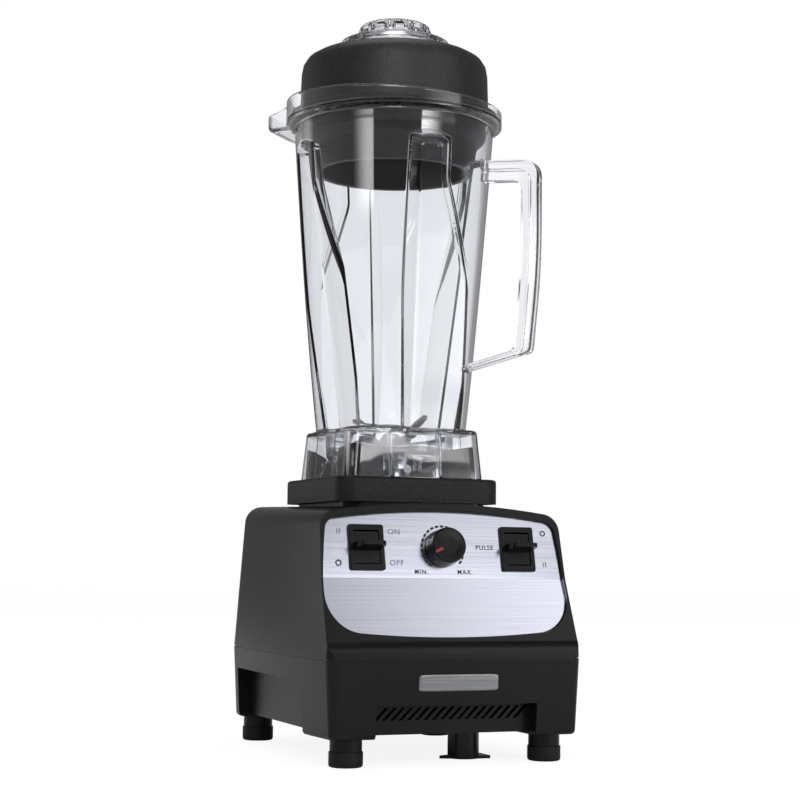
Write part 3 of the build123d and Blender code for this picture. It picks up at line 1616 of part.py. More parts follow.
# Control board on its standoffs, with heat sink and capacitor
with BuildPart() as control_board:
    with BuildSketch(Plane.XY.offset(floor_top + standoff)):
        with Locations((0, board_y)):
            Rectangle(board_width, board_depth)
    extrude(amount=board_thickness)
    with BuildSketch(Plane.XY.offset(floor_top + standoff)):
        with Locations((sink_x, board_y)):
            Rectangle(sink_width, sink_depth)
        with Locations((capacitor_x, board_y)):
            Circle(capacitor_radius)
    extrude(amount=board_parts_height)
finish(control_board, "control_board")
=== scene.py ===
import bmesh
import bpy
import json
import numpy as np
from math import cos, pi, radians, sin, tan
from mathutils import Matrix, Vector


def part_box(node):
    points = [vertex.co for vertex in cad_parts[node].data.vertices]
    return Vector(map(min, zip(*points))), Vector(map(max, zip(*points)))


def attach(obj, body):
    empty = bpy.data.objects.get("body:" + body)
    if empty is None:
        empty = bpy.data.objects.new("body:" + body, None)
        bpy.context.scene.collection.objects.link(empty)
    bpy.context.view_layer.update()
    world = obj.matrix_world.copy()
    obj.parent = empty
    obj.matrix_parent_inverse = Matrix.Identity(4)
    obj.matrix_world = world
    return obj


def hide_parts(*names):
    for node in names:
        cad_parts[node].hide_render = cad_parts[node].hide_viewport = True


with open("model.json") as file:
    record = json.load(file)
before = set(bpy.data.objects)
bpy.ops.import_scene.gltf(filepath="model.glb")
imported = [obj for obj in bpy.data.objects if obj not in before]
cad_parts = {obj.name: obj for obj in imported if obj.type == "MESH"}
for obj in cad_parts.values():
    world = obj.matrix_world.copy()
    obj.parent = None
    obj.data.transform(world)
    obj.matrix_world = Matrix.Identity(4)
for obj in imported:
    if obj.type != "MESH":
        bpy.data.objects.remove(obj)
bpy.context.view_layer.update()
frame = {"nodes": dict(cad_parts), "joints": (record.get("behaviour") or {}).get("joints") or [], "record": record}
nodes = frame["nodes"]
mm = 0.001  # the frame is in metres, the sizes below in millimetres
jointPlace = {joint["name"]: joint.get("pos_m") for joint in frame["joints"]}
axisY = jointPlace["motor_spin"][1] / mm  # drive axis, from the frame
print("frame loaded:", len(nodes), "nodes")


def boxMm(node):
    low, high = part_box(node)
    return np.array(low) / mm, np.array(high) / mm


def linearColour(hexText):
    # sRGB hex to linear RGBA: the toe is divided by 12.92, the rest raised to 2.4
    srgb = np.array([int(hexText[i:i + 2], 16) for i in (1, 3, 5)]) / 255
    linear = np.where(srgb <= 0.04045, srgb / 12.92, ((srgb + 0.055) / 1.055) ** 2.4)
    return (*linear.tolist(), 1.0)


def addNode(tree, kind, inputs=(), **settings):
    node = tree.nodes.new(kind)
    for name, value in settings.items():
        setattr(node, name, value)
    for socket, value in dict(inputs).items():
        if isinstance(value, bpy.types.NodeSocket):
            tree.links.new(value, node.inputs[socket])
        else:
            node.inputs[socket].default_value = value
    return node


def startMaterial(name):
    material = bpy.data.materials.new(name)
    material.use_nodes = True
    tree = material.node_tree
    tree.nodes.clear()
    return material, tree


def endMaterial(tree, shader, volume=None):
    links = {"Surface": shader.outputs[0]}
    if volume:
        links["Volume"] = volume.outputs[0]
    addNode(tree, "ShaderNodeOutputMaterial", links)


def perMetre(sizeMm):
    return 1 / (sizeMm * mm)  # texture scale whose features measure sizeMm


def objectPlace(tree):
    return addNode(tree, "ShaderNodeTexCoord").outputs["Object"]


def maths(tree, operation, *values):
    return addNode(tree, "ShaderNodeMath", dict(enumerate(values)), operation=operation).outputs[0]


def noiseFac(tree, place, sizeMm, detail):
    return addNode(tree, "ShaderNodeTexNoise", {
        "Vector": place, "Scale": perMetre(sizeMm), "Detail": detail}).outputs["Fac"]


def spread(tree, value, span, target, **settings):
    return addNode(tree, "ShaderNodeMapRange", {
        "Value": value, "From Min": span[0], "From Max": span[1],
        "To Min": target[0], "To Max": target[1]}, **settings).outputs["Result"]


def toneRamp(tree, value, span, tones):
    ramp = addNode(tree, "ShaderNodeValToRGB", {"Fac": value})
    for element, place, hexText in zip(ramp.color_ramp.elements, span, tones):
        element.position = place
        element.color = linearColour(hexText)
    return ramp.outputs["Color"]


def bumped(tree, height, strength, depthMm, **settings):
    return addNode(tree, "ShaderNodeBump", {
        "Height": height, "Strength": strength, "Distance": depthMm * mm}, **settings).outputs["Normal"]


unitSpan = (0.0, 1.0)
noiseSpan, midSpan = (0.25, 0.75), (0.3, 0.7)  # where nearly all, and most, of a noise's values lie

# Moulded plastic: spark-eroded mould gives an even satin grain, and the melt's flow a slow drift of tone
plastic = {"driftMm": 60, "bump": 0.35, "ior": 1.5}


def mouldedPlastic(name, tones, rough, grainMm, grainDepthMm, specular=0.5):
    material, tree = startMaterial(name)
    place = objectPlace(tree)
    drift = noiseFac(tree, place, plastic["driftMm"], 2.0)
    grain = noiseFac(tree, place, grainMm, 3.0)
    endMaterial(tree, addNode(tree, "ShaderNodeBsdfPrincipled", {
        "Base Color": toneRamp(tree, drift, midSpan, tones),
        "Roughness": spread(tree, grain, noiseSpan, rough),
        "Normal": bumped(tree, grain, plastic["bump"], grainDepthMm),
        "IOR": plastic["ior"], "Specular IOR Level": specular}))
    return material


# Moulded rubber with a leather-like pebble: rounded cells with narrow valleys, dull on top
pebble = {"warp": 3.0, "sway": 1.2, "smooth": 0.35, "fineMm": 0.5, "fineShare": 0.35,
          "toneSpan": (0.15, 0.75), "rough": (0.4, 0.52), "bump": 0.9, "ior": 1.52}


def pebbledRubber(name, tones, pebbleMm, depthMm, specular):
    material, tree = startMaterial(name)
    place = objectPlace(tree)
    warp = addNode(tree, "ShaderNodeTexNoise", {
        "Vector": place, "Scale": perMetre(pebble["warp"] * pebbleMm), "Detail": 2.0})
    sway = (pebble["sway"] * pebbleMm * mm,) * 3  # cells stray by about their own size
    shifted = addNode(tree, "ShaderNodeVectorMath", {0: warp.outputs["Color"], 1: sway, 2: place},
                      operation="MULTIPLY_ADD")
    cells = addNode(tree, "ShaderNodeTexVoronoi", {
        "Vector": shifted.outputs[0], "Scale": perMetre(pebbleMm), "Smoothness": pebble["smooth"]},
        feature="SMOOTH_F1").outputs["Distance"]
    fine = noiseFac(tree, place, pebble["fineMm"], 4.0)
    height = maths(tree, "MULTIPLY_ADD", fine, pebble["fineShare"], cells)
    endMaterial(tree, addNode(tree, "ShaderNodeBsdfPrincipled", {
        "Base Color": toneRamp(tree, cells, pebble["toneSpan"], tones[::-1]),
        "Roughness": spread(tree, fine, midSpan, pebble["rough"]),
        "Normal": bumped(tree, height, pebble["bump"], depthMm, invert=True),
        "IOR": pebble["ior"], "Specular IOR Level": specular}))
    return material


# Brushed aluminium: the abrasive belt leaves long scratches one way, so tone and gloss vary across them
brushed = {"bump": 0.1, "bumpMm": 0.03}


def brushedAluminium(name, tones, rough, scratchMm, alongMm):
    material, tree = startMaterial(name)
    across = perMetre(scratchMm)
    stretch = addNode(tree, "ShaderNodeMapping", {
        "Vector": objectPlace(tree), "Scale": (perMetre(alongMm), across, across)})
    scratches = addNode(tree, "ShaderNodeTexNoise", {
        "Vector": stretch.outputs["Vector"], "Scale": 1.0, "Detail": 3.0}).outputs["Fac"]
    endMaterial(tree, addNode(tree, "ShaderNodeBsdfPrincipled", {
        "Base Color": toneRamp(tree, scratches, midSpan, tones), "Metallic": 1.0,
        "Roughness": spread(tree, scratches, noiseSpan, rough),
        "Normal": bumped(tree, scratches, brushed["bump"], brushed["bumpMm"])}))
    return material


# Injection-moulded clear polycarbonate: glossy skin with faint flow lines, long paths turn greyish
clear = {"flowMm": 25, "bump": 0.05, "bumpMm": 0.3, "ior": 1.585, "skin": "#fbfcff",
         "dim": "#c6c7c9", "density": 12.0}


def clearPolycarbonate(name, rough):
    material, tree = startMaterial(name)
    flow = noiseFac(tree, objectPlace(tree), clear["flowMm"], 1.0)
    shader = addNode(tree, "ShaderNodeBsdfPrincipled", {
        "Base Color": linearColour(clear["skin"]), "Roughness": spread(tree, flow, midSpan, rough),
        "Normal": bumped(tree, flow, clear["bump"], clear["bumpMm"]), "IOR": clear["ior"],
        "Transmission Weight": 1.0})
    dim = addNode(tree, "ShaderNodeVolumeAbsorption", {
        "Color": linearColour(clear["dim"]), "Density": clear["density"]})
    endMaterial(tree, shader, dim)
    return material


# Metal that is ground, plated or cast: a base tone with streaks or grain of the given size
metalBump = 0.3


def plainMetal(name, tones, rough, grainMm, bumpMm=0.01):
    material, tree = startMaterial(name)
    grain = noiseFac(tree, objectPlace(tree), grainMm, 4.0)
    endMaterial(tree, addNode(tree, "ShaderNodeBsdfPrincipled", {
        "Base Color": toneRamp(tree, grain, midSpan, tones), "Metallic": 1.0,
        "Roughness": spread(tree, grain, noiseSpan, rough),
        "Normal": bumped(tree, grain, metalBump, bumpMm)}))
    return material


# Turned, wound or laminated metal: bands across the upright axis at the pitch of the wire, sheet or cut
banded = {"stray": 0.4, "toneSpan": (0.2, 0.8), "bump": 0.6, "depthShare": 0.25}


def bandedMetal(name, tones, rough, pitchMm):
    material, tree = startMaterial(name)
    bands = addNode(tree, "ShaderNodeTexWave", {
        "Vector": objectPlace(tree), "Scale": perMetre(pitchMm) / pi, "Distortion": banded["stray"],
        "Detail": 1.0}, wave_type="BANDS", bands_direction="Z").outputs["Fac"]
    endMaterial(tree, addNode(tree, "ShaderNodeBsdfPrincipled", {
        "Base Color": toneRamp(tree, bands, banded["toneSpan"], tones), "Metallic": 1.0, "Roughness": rough,
        "Normal": bumped(tree, bands, banded["bump"], banded["depthShare"] * pitchMm)}))
    return material


finishes = {
    "housingAbs": mouldedPlastic("satin charcoal ABS, spark-eroded", ("#0e0e0f", "#131314"),
                                 (0.17, 0.24), 0.8, 0.01, 0.26),
    "trayAbs": mouldedPlastic("satin black ABS, spark-eroded", ("#0e0e0e", "#121212"),
                              (0.26, 0.36), 0.9, 0.012, 0.2),
    "switchNylon": mouldedPlastic("black nylon, polished mould", ("#060608", "#09090c"),
                                  (0.24, 0.34), 0.7, 0.01, 0.2),
    "lidRubber": pebbledRubber("pebbled black rubber, moulded", ("#0f0f10", "#1f1f20"), 1.3, 0.2, 0.6),
    "padRubber": pebbledRubber("coarse black rubber, moulded", ("#0b0b0b", "#171716"), 1.7, 0.28, 0.3),
    "footRubber": mouldedPlastic("dull black rubber, moulded", ("#0a0a0a", "#101010"),
                                 (0.5, 0.62), 1.1, 0.03, 0.3),
    "panelAluminium": brushedAluminium("brushed aluminium, clear anodised", ("#cfd2e2", "#dee0ea"),
                                       (0.15, 0.2), 0.4, 120),
    "clearBody": clearPolycarbonate("clear polycarbonate, injection moulded", (0.01, 0.025)),
    "bladeSteel": plainMetal("stainless steel, ground", ("#9a9ca0", "#c8cacd"), (0.18, 0.3), 1.2),
    "platedSteel": plainMetal("zinc-plated steel, bright", ("#8d9096", "#b4b8be"), (0.26, 0.4), 0.9),
    "castAluminium": plainMetal("die-cast aluminium, as cast", ("#8c8e91", "#a9abad"),
                                (0.42, 0.6), 0.7, 0.04),
    "coreSteel": bandedMetal("laminated steel, varnished", ("#2c2d31", "#55575c"), 0.4, 1.0),
    "coilCopper": bandedMetal("enamelled copper wire, wound", ("#5a2410", "#b0602e"), 0.35, 1.1),
    "turnedCopper": bandedMetal("copper and brass, turned", ("#a5683a", "#cf9a5e"), 0.3, 0.8),
    "brushCarbon": mouldedPlastic("pressed carbon", ("#18181a", "#26262a"), (0.55, 0.7), 0.5, 0.02),
    "boardLaminate": mouldedPlastic("glass-fibre board, solder mask", ("#0e3a22", "#145030"),
                                    (0.3, 0.4), 0.6, 0.01),
    "resetRed": mouldedPlastic("red ABS, polished mould", ("#7a1014", "#8f161a"), (0.22, 0.3), 0.7, 0.008),
}
slotFinish = {
    "moulded_abs": "housingAbs", "brushed_aluminium": "panelAluminium", "switch_nylon": "switchNylon",
    "moulded_rubber": "footRubber", "clear_polycarbonate": "clearBody", "stainless_steel": "bladeSteel",
    "zinc_plated_steel": "platedSteel", "die_cast_aluminium": "castAluminium",
    "laminated_steel": "coreSteel", "enamelled_copper": "coilCopper", "commutator_copper": "turnedCopper",
    "carbon": "brushCarbon", "board_laminate": "boardLaminate", "reset_red": "resetRed",
}
nodeFinish = {"base_tray": "trayAbs", "centering_pad": "padRubber", "foot_stems": "trayAbs"}
for part in frame["record"]["subparts"]:
    finish = finishes[nodeFinish.get(part["node"], slotFinish[part["material_slot"]])]
    nodes[part["node"]].data.materials.clear()
    nodes[part["node"]].data.materials.append(finish)
print("finishes on CAD nodes:", len(finishes))


# Surface helpers: every new piece is a grid of points, rows along one parameter and columns along the other
def gridQuads(rows, columns, closeRows, closeColumns):
    down = np.arange(rows if closeRows else rows - 1)[:, None]
    across = np.arange(columns if closeColumns else columns - 1)[None, :]
    nextDown = (down + 1) % rows
    nextAcross = (across + 1) % columns
    corners = (down * columns + across, down * columns + nextAcross,
               nextDown * columns + nextAcross, nextDown * columns + across)
    return np.stack([np.broadcast_to(c, (down.size, across.size)).ravel() for c in corners], axis=1)


def slabFaces(rows, columns, first=0):
    # closed rows joined along the grid, with one face to shut each end
    end = np.arange(columns) + first
    quads = gridQuads(rows, columns, False, True) + first
    return quads.tolist() + [end.tolist(), (end + (rows - 1) * columns).tolist()]


def putMesh(name, points, faces, finish, body, smooth=True):
    mesh = bpy.data.meshes.new(name)
    mesh.from_pydata((points.reshape(-1, 3) * mm).tolist(), [], faces)
    shell = bmesh.new()
    shell.from_mesh(mesh)
    bmesh.ops.remove_doubles(shell, verts=shell.verts, dist=1e-7)  # closes poles, where a row is one point
    bmesh.ops.recalc_face_normals(shell, faces=shell.faces)
    shell.to_mesh(mesh)
    shell.free()
    mesh.polygons.foreach_set("use_smooth", np.full(len(mesh.polygons), smooth))
    mesh.update()
    piece = bpy.data.objects.new(name, mesh)
    bpy.context.scene.collection.objects.link(piece)
    mesh.materials.append(finishes[finish])
    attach(piece, body)
    return piece


tiny = 1e-6
roundShare = 0.48  # a rounding takes at most this share of a side


def roundedRows(corners, radii, steps=5):
    # each corner row becomes a parabola between points one radius away from it along both its neighbours
    count = len(corners)
    rows = []
    for i in range(count):
        here, before, after = corners[i], corners[i - 1], corners[(i + 1) % count]
        if radii[i] == 0:
            rows.append(here)
            continue
        toBefore, toAfter = before - here, after - here
        reachBefore = np.linalg.norm(toBefore, axis=-1, keepdims=True)
        reachAfter = np.linalg.norm(toAfter, axis=-1, keepdims=True)
        start = here + toBefore * np.minimum(radii[i] / np.maximum(reachBefore, tiny), roundShare)
        end = here + toAfter * np.minimum(radii[i] / np.maximum(reachAfter, tiny), roundShare)
        for t in np.linspace(0, 1, steps):
            rows.append(start * (1 - t) ** 2 + here * 2 * t * (1 - t) + end * t ** 2)
    return np.stack(rows)


def ringRow(theta, radius, height):
    # closed row round the drive axis, from radius and height at each angle
    return np.stack([radius * np.cos(theta), axisY + radius * np.sin(theta), height + 0 * theta], axis=-1)


def turned(name, corners, radii, columns, finish, body, closed=True, cut=None):
    # rounded profile carried once round the axis; cut may lower the radius by height and angle
    theta = np.linspace(0, 2 * pi, columns, endpoint=False)
    profile = roundedRows(np.array(corners, float)[:, None, :] * np.ones((1, columns, 1)), radii)
    radius, height = profile[..., 0], profile[..., 1]
    if cut:
        radius = cut(radius, height, theta)
    grid = ringRow(theta[None, :], radius, height)
    quads = gridQuads(len(grid), columns, closed, True)
    return putMesh(name, grid, quads.tolist(), finish, body)


def softMin(a, b, edge):
    return (a + b - np.sqrt((a - b) ** 2 + edge ** 2)) / 2


def softMax(a, b, edge):
    return (a + b + np.sqrt((a - b) ** 2 + edge ** 2)) / 2


# Jar: one clear moulding, its sheet followed from the skirt's foot up outside and down again inside
jarSeat = boxMm("jar")[0][2]
jar = {
    "wall": 3.2, "skirtHeight": 34.1, "skirtLow": 50.8, "skirtHigh": 47.9, "skirtCorner": 9.0,
    "skirtWall": 3.0, "bowl": 43.4, "bowlDrop": 17.8, "unitHole": 14.25,
    "lowRadius": 53.4, "midRadius": 64.2, "neckRadius": 70.6, "midHeight": 126.0, "neckHeight": 211.0,
    "flatLow": 46.5, "flatSlope": 0.14, "flatEdge": 1.0, "corner": 43.4,
    "ledge": 220.7, "collarFoot": 215.6, "apart": 0.2,
}
# the sheet's rows by height, closer together where the flutes' roofs arch, and up the rim by share
jarRows = {
    "wall": (2.5, 184.0, 30), "underArch": (188.0, 4), "overArch": (203.0, 16), "neck": (205.0, 3),
    "archGap": 0.1, "neckGap": 1.5, "rim": (0.05, 0.13, 0.23, 0.35, 0.49, 0.65, 0.82),
}
# roundings along the sheet, by place
jarRound = {
    "foot": 1.0, "skirtTop": 2.6, "shoulder": 1.4, "rim": 1.2, "edge": 0.8, "crease": 0.6,
    "bowlIn": 4.0, "bowlOut": 3.0, "hole": 0.4,
}
flute = {
    "floorLow": 37.6, "floorSlope": 0.1282, "top": 194.2, "crown": 0.6, "roof": 40.0, "archFloor": 0.02,
    "leftLow": 0.2, "leftHigh": -4.4, "leftWallLow": 39.0, "leftWallHigh": 60.0,
    "right": 11.5, "rightWall": 15.0, "sweep": 170.0, "sweepSlope": 0.346, "passes": 8,
    "outerEdge": 0.9, "floorEdge": 0.7, "floorColumns": 12, "leftColumns": 36, "rightColumns": 40,
}
rim = {
    "collar": 76.8, "collarEdge": 0.8, "wall": 3.0, "level": 10.5, "slant": 0.0551,
    "turn": 135.0, "reach": 98.0, "half": 21.0, "frontEdge": 0.6, "leastCos": 0.3,
    "curlRadius": 14.8, "innerCurl": 11.05, "curlLevel": 11.0, "curlClear": 4.0,
    "spoutFall": 4.5, "fallStart": 1.2, "fallReach": 8.0,
}
shoulder = jarSeat + jar["skirtHeight"]
ledge = shoulder + jar["ledge"]


def roundedSquare(theta, half, corner):
    # polar radius of a square with rounded corners: the side's line, or the corner's circle past its start
    big = np.maximum(abs(np.cos(theta)), abs(np.sin(theta)))
    small = np.minimum(abs(np.cos(theta)), abs(np.sin(theta)))
    centre = half - corner
    along = centre * (big + small)
    onCorner = along + np.sqrt(np.maximum(along ** 2 - 2 * centre ** 2 + corner ** 2, 0))
    return np.where(half * small / big <= centre, half / big, onCorner)


def flareRadius(height, inset):
    # round wall: parabola through the radii at foot, middle and neck
    low, mid, neck = jar["lowRadius"], jar["midRadius"], jar["neckRadius"]
    hMid, hNeck = jar["midHeight"], jar["neckHeight"]
    bend = ((neck - low) / hNeck - (mid - low) / hMid) / (hNeck - hMid)
    return low + height * ((mid - low) / hMid + bend * (height - hMid)) - inset


def jarOutline(heights, inset):
    # one face of the wall at each height as (across, away): from the corner along the lesser of flare
    # and flat, down the flute's left side, over its floor or, higher up, its arched roof, and up the
    # right side; above the roof the points run onto the round wall
    h = np.asarray(heights, float)[:, None]
    flare = flareRadius(h, inset)
    flat = jar["flatLow"] + jar["flatSlope"] * h - inset
    floor = flute["floorLow"] + flute["floorSlope"] * h - inset
    rise = (h + jar["skirtHeight"]) / (flute["top"] + jar["skirtHeight"])
    lowWall, highWall = radians(flute["leftWallLow"]), radians(flute["leftWallHigh"])
    rightWall = radians(flute["rightWall"])
    leftSlope = tan(lowWall) + (tan(highWall) - tan(lowWall)) * rise
    leftLow = flute["leftLow"] - inset * tan(pi / 4 - lowWall / 2)
    leftHigh = flute["leftHigh"] - inset * tan(pi / 4 - highWall / 2)
    left = leftLow + (leftHigh - leftLow) * rise
    right = flute["right"] + flute["sweepSlope"] * np.maximum(flute["sweep"] - h, 0)
    right = right + inset * tan(pi / 4 - rightWall / 2)
    right = np.minimum(right, np.sqrt(np.maximum(flare ** 2 - floor ** 2, 0)))
    right = np.minimum(right, floor * tan(radians(jar["corner"])))

    def outer(phi):
        return softMin(flare, flat / np.cos(phi), jar["flatEdge"])

    def liftToWall(edge, slope):
        lift = outer(0 * h) - floor
        for _ in range(flute["passes"]):
            across, away = edge + slope * lift, floor + lift
            lift = np.maximum(lift + outer(np.arctan2(across, away)) - np.hypot(across, away), 0)
        return lift

    leftLift, rightLift = liftToWall(left, -leftSlope), liftToWall(right, tan(rightWall))
    share = np.linspace(0, 1, flute["floorColumns"])[None, :]
    arch = np.maximum(1 - (2 * share - 1) ** 2, flute["archFloor"])
    lift = ((h - flute["top"] - inset) / arch - flute["crown"]) / tan(radians(flute["roof"]))
    full = leftLift * (1 - share) + rightLift * share
    lift = np.clip(lift, 0, full)
    across = (left - leftSlope * lift) * (1 - share) + (right + tan(rightWall) * lift) * share
    away = floor + lift
    ontoWall = outer(np.arctan2(across, away)) / np.hypot(across, away)
    trim = np.minimum(ontoWall, 1 + (ontoWall - 1) * lift / np.maximum(full, tiny))
    bottom = np.stack([across * trim, away * trim], axis=-1)
    leftEdge = np.stack([left - leftSlope * leftLift, floor + leftLift], axis=-1)
    rightEdge = np.stack([right + tan(rightWall) * rightLift, floor + rightLift], axis=-1)

    def alongWall(startPhi, endPhi, places):
        phi = startPhi + (endPhi - startPhi) * places[None, :]
        return np.stack([outer(phi) * np.sin(phi), outer(phi) * np.cos(phi)], axis=-1)

    leftPhi = np.arctan2(leftEdge[..., 0], leftEdge[..., 1])
    rightPhi = np.arctan2(rightEdge[..., 0], rightEdge[..., 1])
    leftPlaces = np.linspace(0, 1, flute["leftColumns"], endpoint=False)
    rightPlaces = 1 - np.linspace(0, 1, flute["rightColumns"], endpoint=False)[::-1]
    quarter = np.concatenate([
        alongWall(-pi / 4, leftPhi, leftPlaces), leftEdge, bottom, rightEdge,
        alongWall(rightPhi, pi / 4, rightPlaces[:-1])], axis=1)
    radii = [0] * flute["leftColumns"] + [flute["outerEdge"], flute["floorEdge"]]
    radii += [0] * (flute["floorColumns"] - 2) + [flute["floorEdge"], flute["outerEdge"]]
    radii += [0] * (flute["rightColumns"] - 1)
    quarter = roundedRows(quarter.transpose(1, 0, 2), radii, 4).transpose(1, 0, 2)
    across, away = quarter[..., 0], quarter[..., 1]
    faces = ((across, -away), (away, across), (-across, away), (-away, -across))  # front, right, back, left
    x = np.concatenate([face[0] for face in faces], axis=1)
    y = np.concatenate([face[1] for face in faces], axis=1)
    return np.stack([x, y + axisY, shoulder + h + 0 * x], axis=-1)


def spoutRadius(theta, height, inset):
    # collar's circle, widened by the spout: its round end in plan, cut back where the front curls under
    psi = (theta - radians(rim["turn"]) + pi) % (2 * pi) - pi
    half, reach = rim["half"] - inset, rim["reach"] - inset
    centre = reach - half
    under = half ** 2 - (centre * np.sin(psi)) ** 2
    ahead = (under > 0) & (np.cos(psi) > 0)
    end = centre * np.cos(psi) + np.sqrt(np.maximum(under, 0))
    curl = rim["innerCurl"] if inset else rim["curlRadius"]
    below = np.clip(ledge + rim["curlLevel"] - height, 0, curl)
    front = (reach - curl + np.sqrt(curl ** 2 - below ** 2)) / np.maximum(np.cos(psi), rim["leastCos"])
    spout = np.where(ahead, softMin(end, front, rim["frontEdge"]), 0)
    return softMax(spout, rim["collar"] - inset + 0 * theta, rim["collarEdge"])


def jarSheet():
    wall, skirtWall, apart = jar["wall"], jar["skirtWall"], jar["apart"]
    top, archGap = flute["top"], jarRows["archGap"]
    under, over, neck = jarRows["underArch"], jarRows["overArch"], jarRows["neck"]
    heights = np.concatenate([
        np.linspace(*jarRows["wall"]), np.linspace(under[0], top - archGap, under[1]),
        np.linspace(top + archGap, *over),
        np.linspace(neck[0], jar["neckHeight"] - jarRows["neckGap"], neck[1])])
    outside = jarOutline(heights, 0)
    inside = jarOutline(heights, wall)
    footOut, footIn = jarOutline([0.0], 0)[0], jarOutline([0.0], wall)[0]

    def angleOf(row):
        return np.arctan2(row[:, 1] - axisY, row[:, 0])

    low, high, innerLow = angleOf(footOut), angleOf(outside[-1]), angleOf(footIn)
    shares = np.array(jarRows["rim"])
    rows, radii = [], []

    def put(row, rounding=None):
        rows.append(row)
        radii.append(jarRound[rounding] if rounding else 0)

    def putSquare(half, corner, level, rounding):
        put(ringRow(low, roundedSquare(low, half, corner), level), rounding)

    def rimLevel(radius):
        past = np.clip((radius - rim["collar"] - rim["fallStart"]) / rim["fallReach"], 0, 1)
        fall = rim["spoutFall"] * past ** 2 * (3 - 2 * past)  # the spout's mouth lies lower than the rim
        return ledge + rim["level"] + rim["slant"] * radius * np.cos(high - radians(rim["turn"])) - fall

    putSquare(jar["skirtLow"], jar["skirtCorner"], jarSeat, "foot")
    putSquare(jar["skirtHigh"], jar["skirtCorner"], shoulder, "skirtTop")
    put(footOut, "shoulder")
    for row in outside:
        put(row)
    put(ringRow(high, jar["neckRadius"], shoulder + jar["collarFoot"]), "rim")
    collarFloor = ledge - rim["wall"]
    put(ringRow(high, rim["collar"], collarFloor - apart), "edge")
    put(ringRow(high, spoutRadius(high, collarFloor, 0), collarFloor), "crease")
    curlTop = ledge + rim["curlLevel"] + rim["curlClear"]
    outerRim, innerRim = spoutRadius(high, curlTop, 0), spoutRadius(high, curlTop, rim["wall"])
    for share in shares:
        level = collarFloor + share * (rimLevel(outerRim) - collarFloor)
        put(ringRow(high, spoutRadius(high, level, 0), level))
    put(ringRow(high, outerRim, rimLevel(outerRim)), "rim")
    put(ringRow(high, innerRim, rimLevel(innerRim)), "rim")
    for share in shares[::-1]:
        level = ledge + share * (rimLevel(innerRim) - ledge)
        put(ringRow(high, spoutRadius(high, level, rim["wall"]), level))
    put(ringRow(high, spoutRadius(high, ledge, rim["wall"]), ledge), "crease")
    put(ringRow(high, jar["neckRadius"] - wall, ledge), "edge")
    for row in inside[::-1]:
        put(row)
    put(footIn, "foot")
    bowlIn = jar["bowl"] - wall
    narrow = np.minimum(np.hypot(footIn[:, 0], footIn[:, 1] - axisY), bowlIn)
    bowlFloor = shoulder - jar["bowlDrop"]
    put(ringRow(innerLow, narrow, shoulder - apart), "crease")
    put(ringRow(innerLow, narrow, shoulder - wall), "crease")
    put(ringRow(innerLow, bowlIn, shoulder - wall - apart), "crease")
    put(ringRow(innerLow, bowlIn, bowlFloor + wall), "bowlIn")
    put(ringRow(innerLow, jar["unitHole"], bowlFloor + wall), "hole")
    put(ringRow(low, jar["unitHole"], bowlFloor), "hole")
    put(ringRow(low, jar["bowl"], bowlFloor), "bowlOut")
    put(ringRow(low, jar["bowl"], shoulder - wall), "edge")
    innerCorner = jar["skirtCorner"] - skirtWall
    putSquare(jar["skirtHigh"] - skirtWall, innerCorner, shoulder - wall, "edge")
    putSquare(jar["skirtLow"] - skirtWall, innerCorner, jarSeat, "edge")
    grid = roundedRows(np.stack(rows), radii, 4)
    quads = gridQuads(len(grid), grid.shape[1], True, True)
    return putMesh("jarMoulding", grid, quads.tolist(), "clearBody", "jar")


jarPiece = jarSheet()
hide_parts("jar")
print("jar sheet:", len(jarPiece.data.polygons), "faces")

# Webs between bowl and skirt: thin ribs, running out along the skirt's inside below the bowl
web = {
    "offset": 18.0, "thick": 1.8, "depth": 7.0, "footDepth": 1.4, "footGap": 1.0, "bite": 0.4,
    "edges": (0.3, 0.3, 0.6, 0.6), "rows": 22,
}


def skirtWebs():
    # rounded strip whose outer edge follows the skirt and whose inner edge meets the bowl, then tapers down
    bite = web["bite"]
    levels = np.linspace(jarSeat + web["footGap"], shoulder - jar["wall"] + bite, web["rows"])
    rise = (levels - jarSeat) / jar["skirtHeight"]
    outer = jar["skirtLow"] + (jar["skirtHigh"] - jar["skirtLow"]) * rise - jar["skirtWall"] + bite
    bowlFloor = shoulder - jar["bowlDrop"]
    above = np.clip((levels - jarSeat) / (bowlFloor - jarSeat), 0, 1)
    taper = outer - web["footDepth"] - (web["depth"] - web["footDepth"]) * above
    bowlEdge = np.sqrt(jar["bowl"] ** 2 - web["offset"] ** 2) - bite
    inner = np.where(levels > bowlFloor, np.minimum(bowlEdge, taper), taper)
    half = web["thick"] / 2
    ring = np.stack([np.stack([side + 0 * levels, depth], axis=-1) for side, depth in (
        (-half, outer), (half, outer), (half, inner), (-half, inner))])
    ring = roundedRows(ring, web["edges"], 4).transpose(1, 0, 2)
    points, faces = [], []
    rows, columns = ring.shape[:2]
    for quarter in range(4):
        for side in (-1, 1):
            across, away = ring[..., 0] + side * web["offset"], ring[..., 1]
            turn = quarter * pi / 2
            x, y = across * cos(turn) + away * sin(turn), across * sin(turn) - away * cos(turn)
            faces += slabFaces(rows, columns, len(points) * rows * columns)
            points.append(np.stack([x, y + axisY, levels[:, None] + 0 * x], axis=-1))
    return putMesh("skirtWebs", np.stack(points), faces, "clearBody", "jar")


skirtWebs()

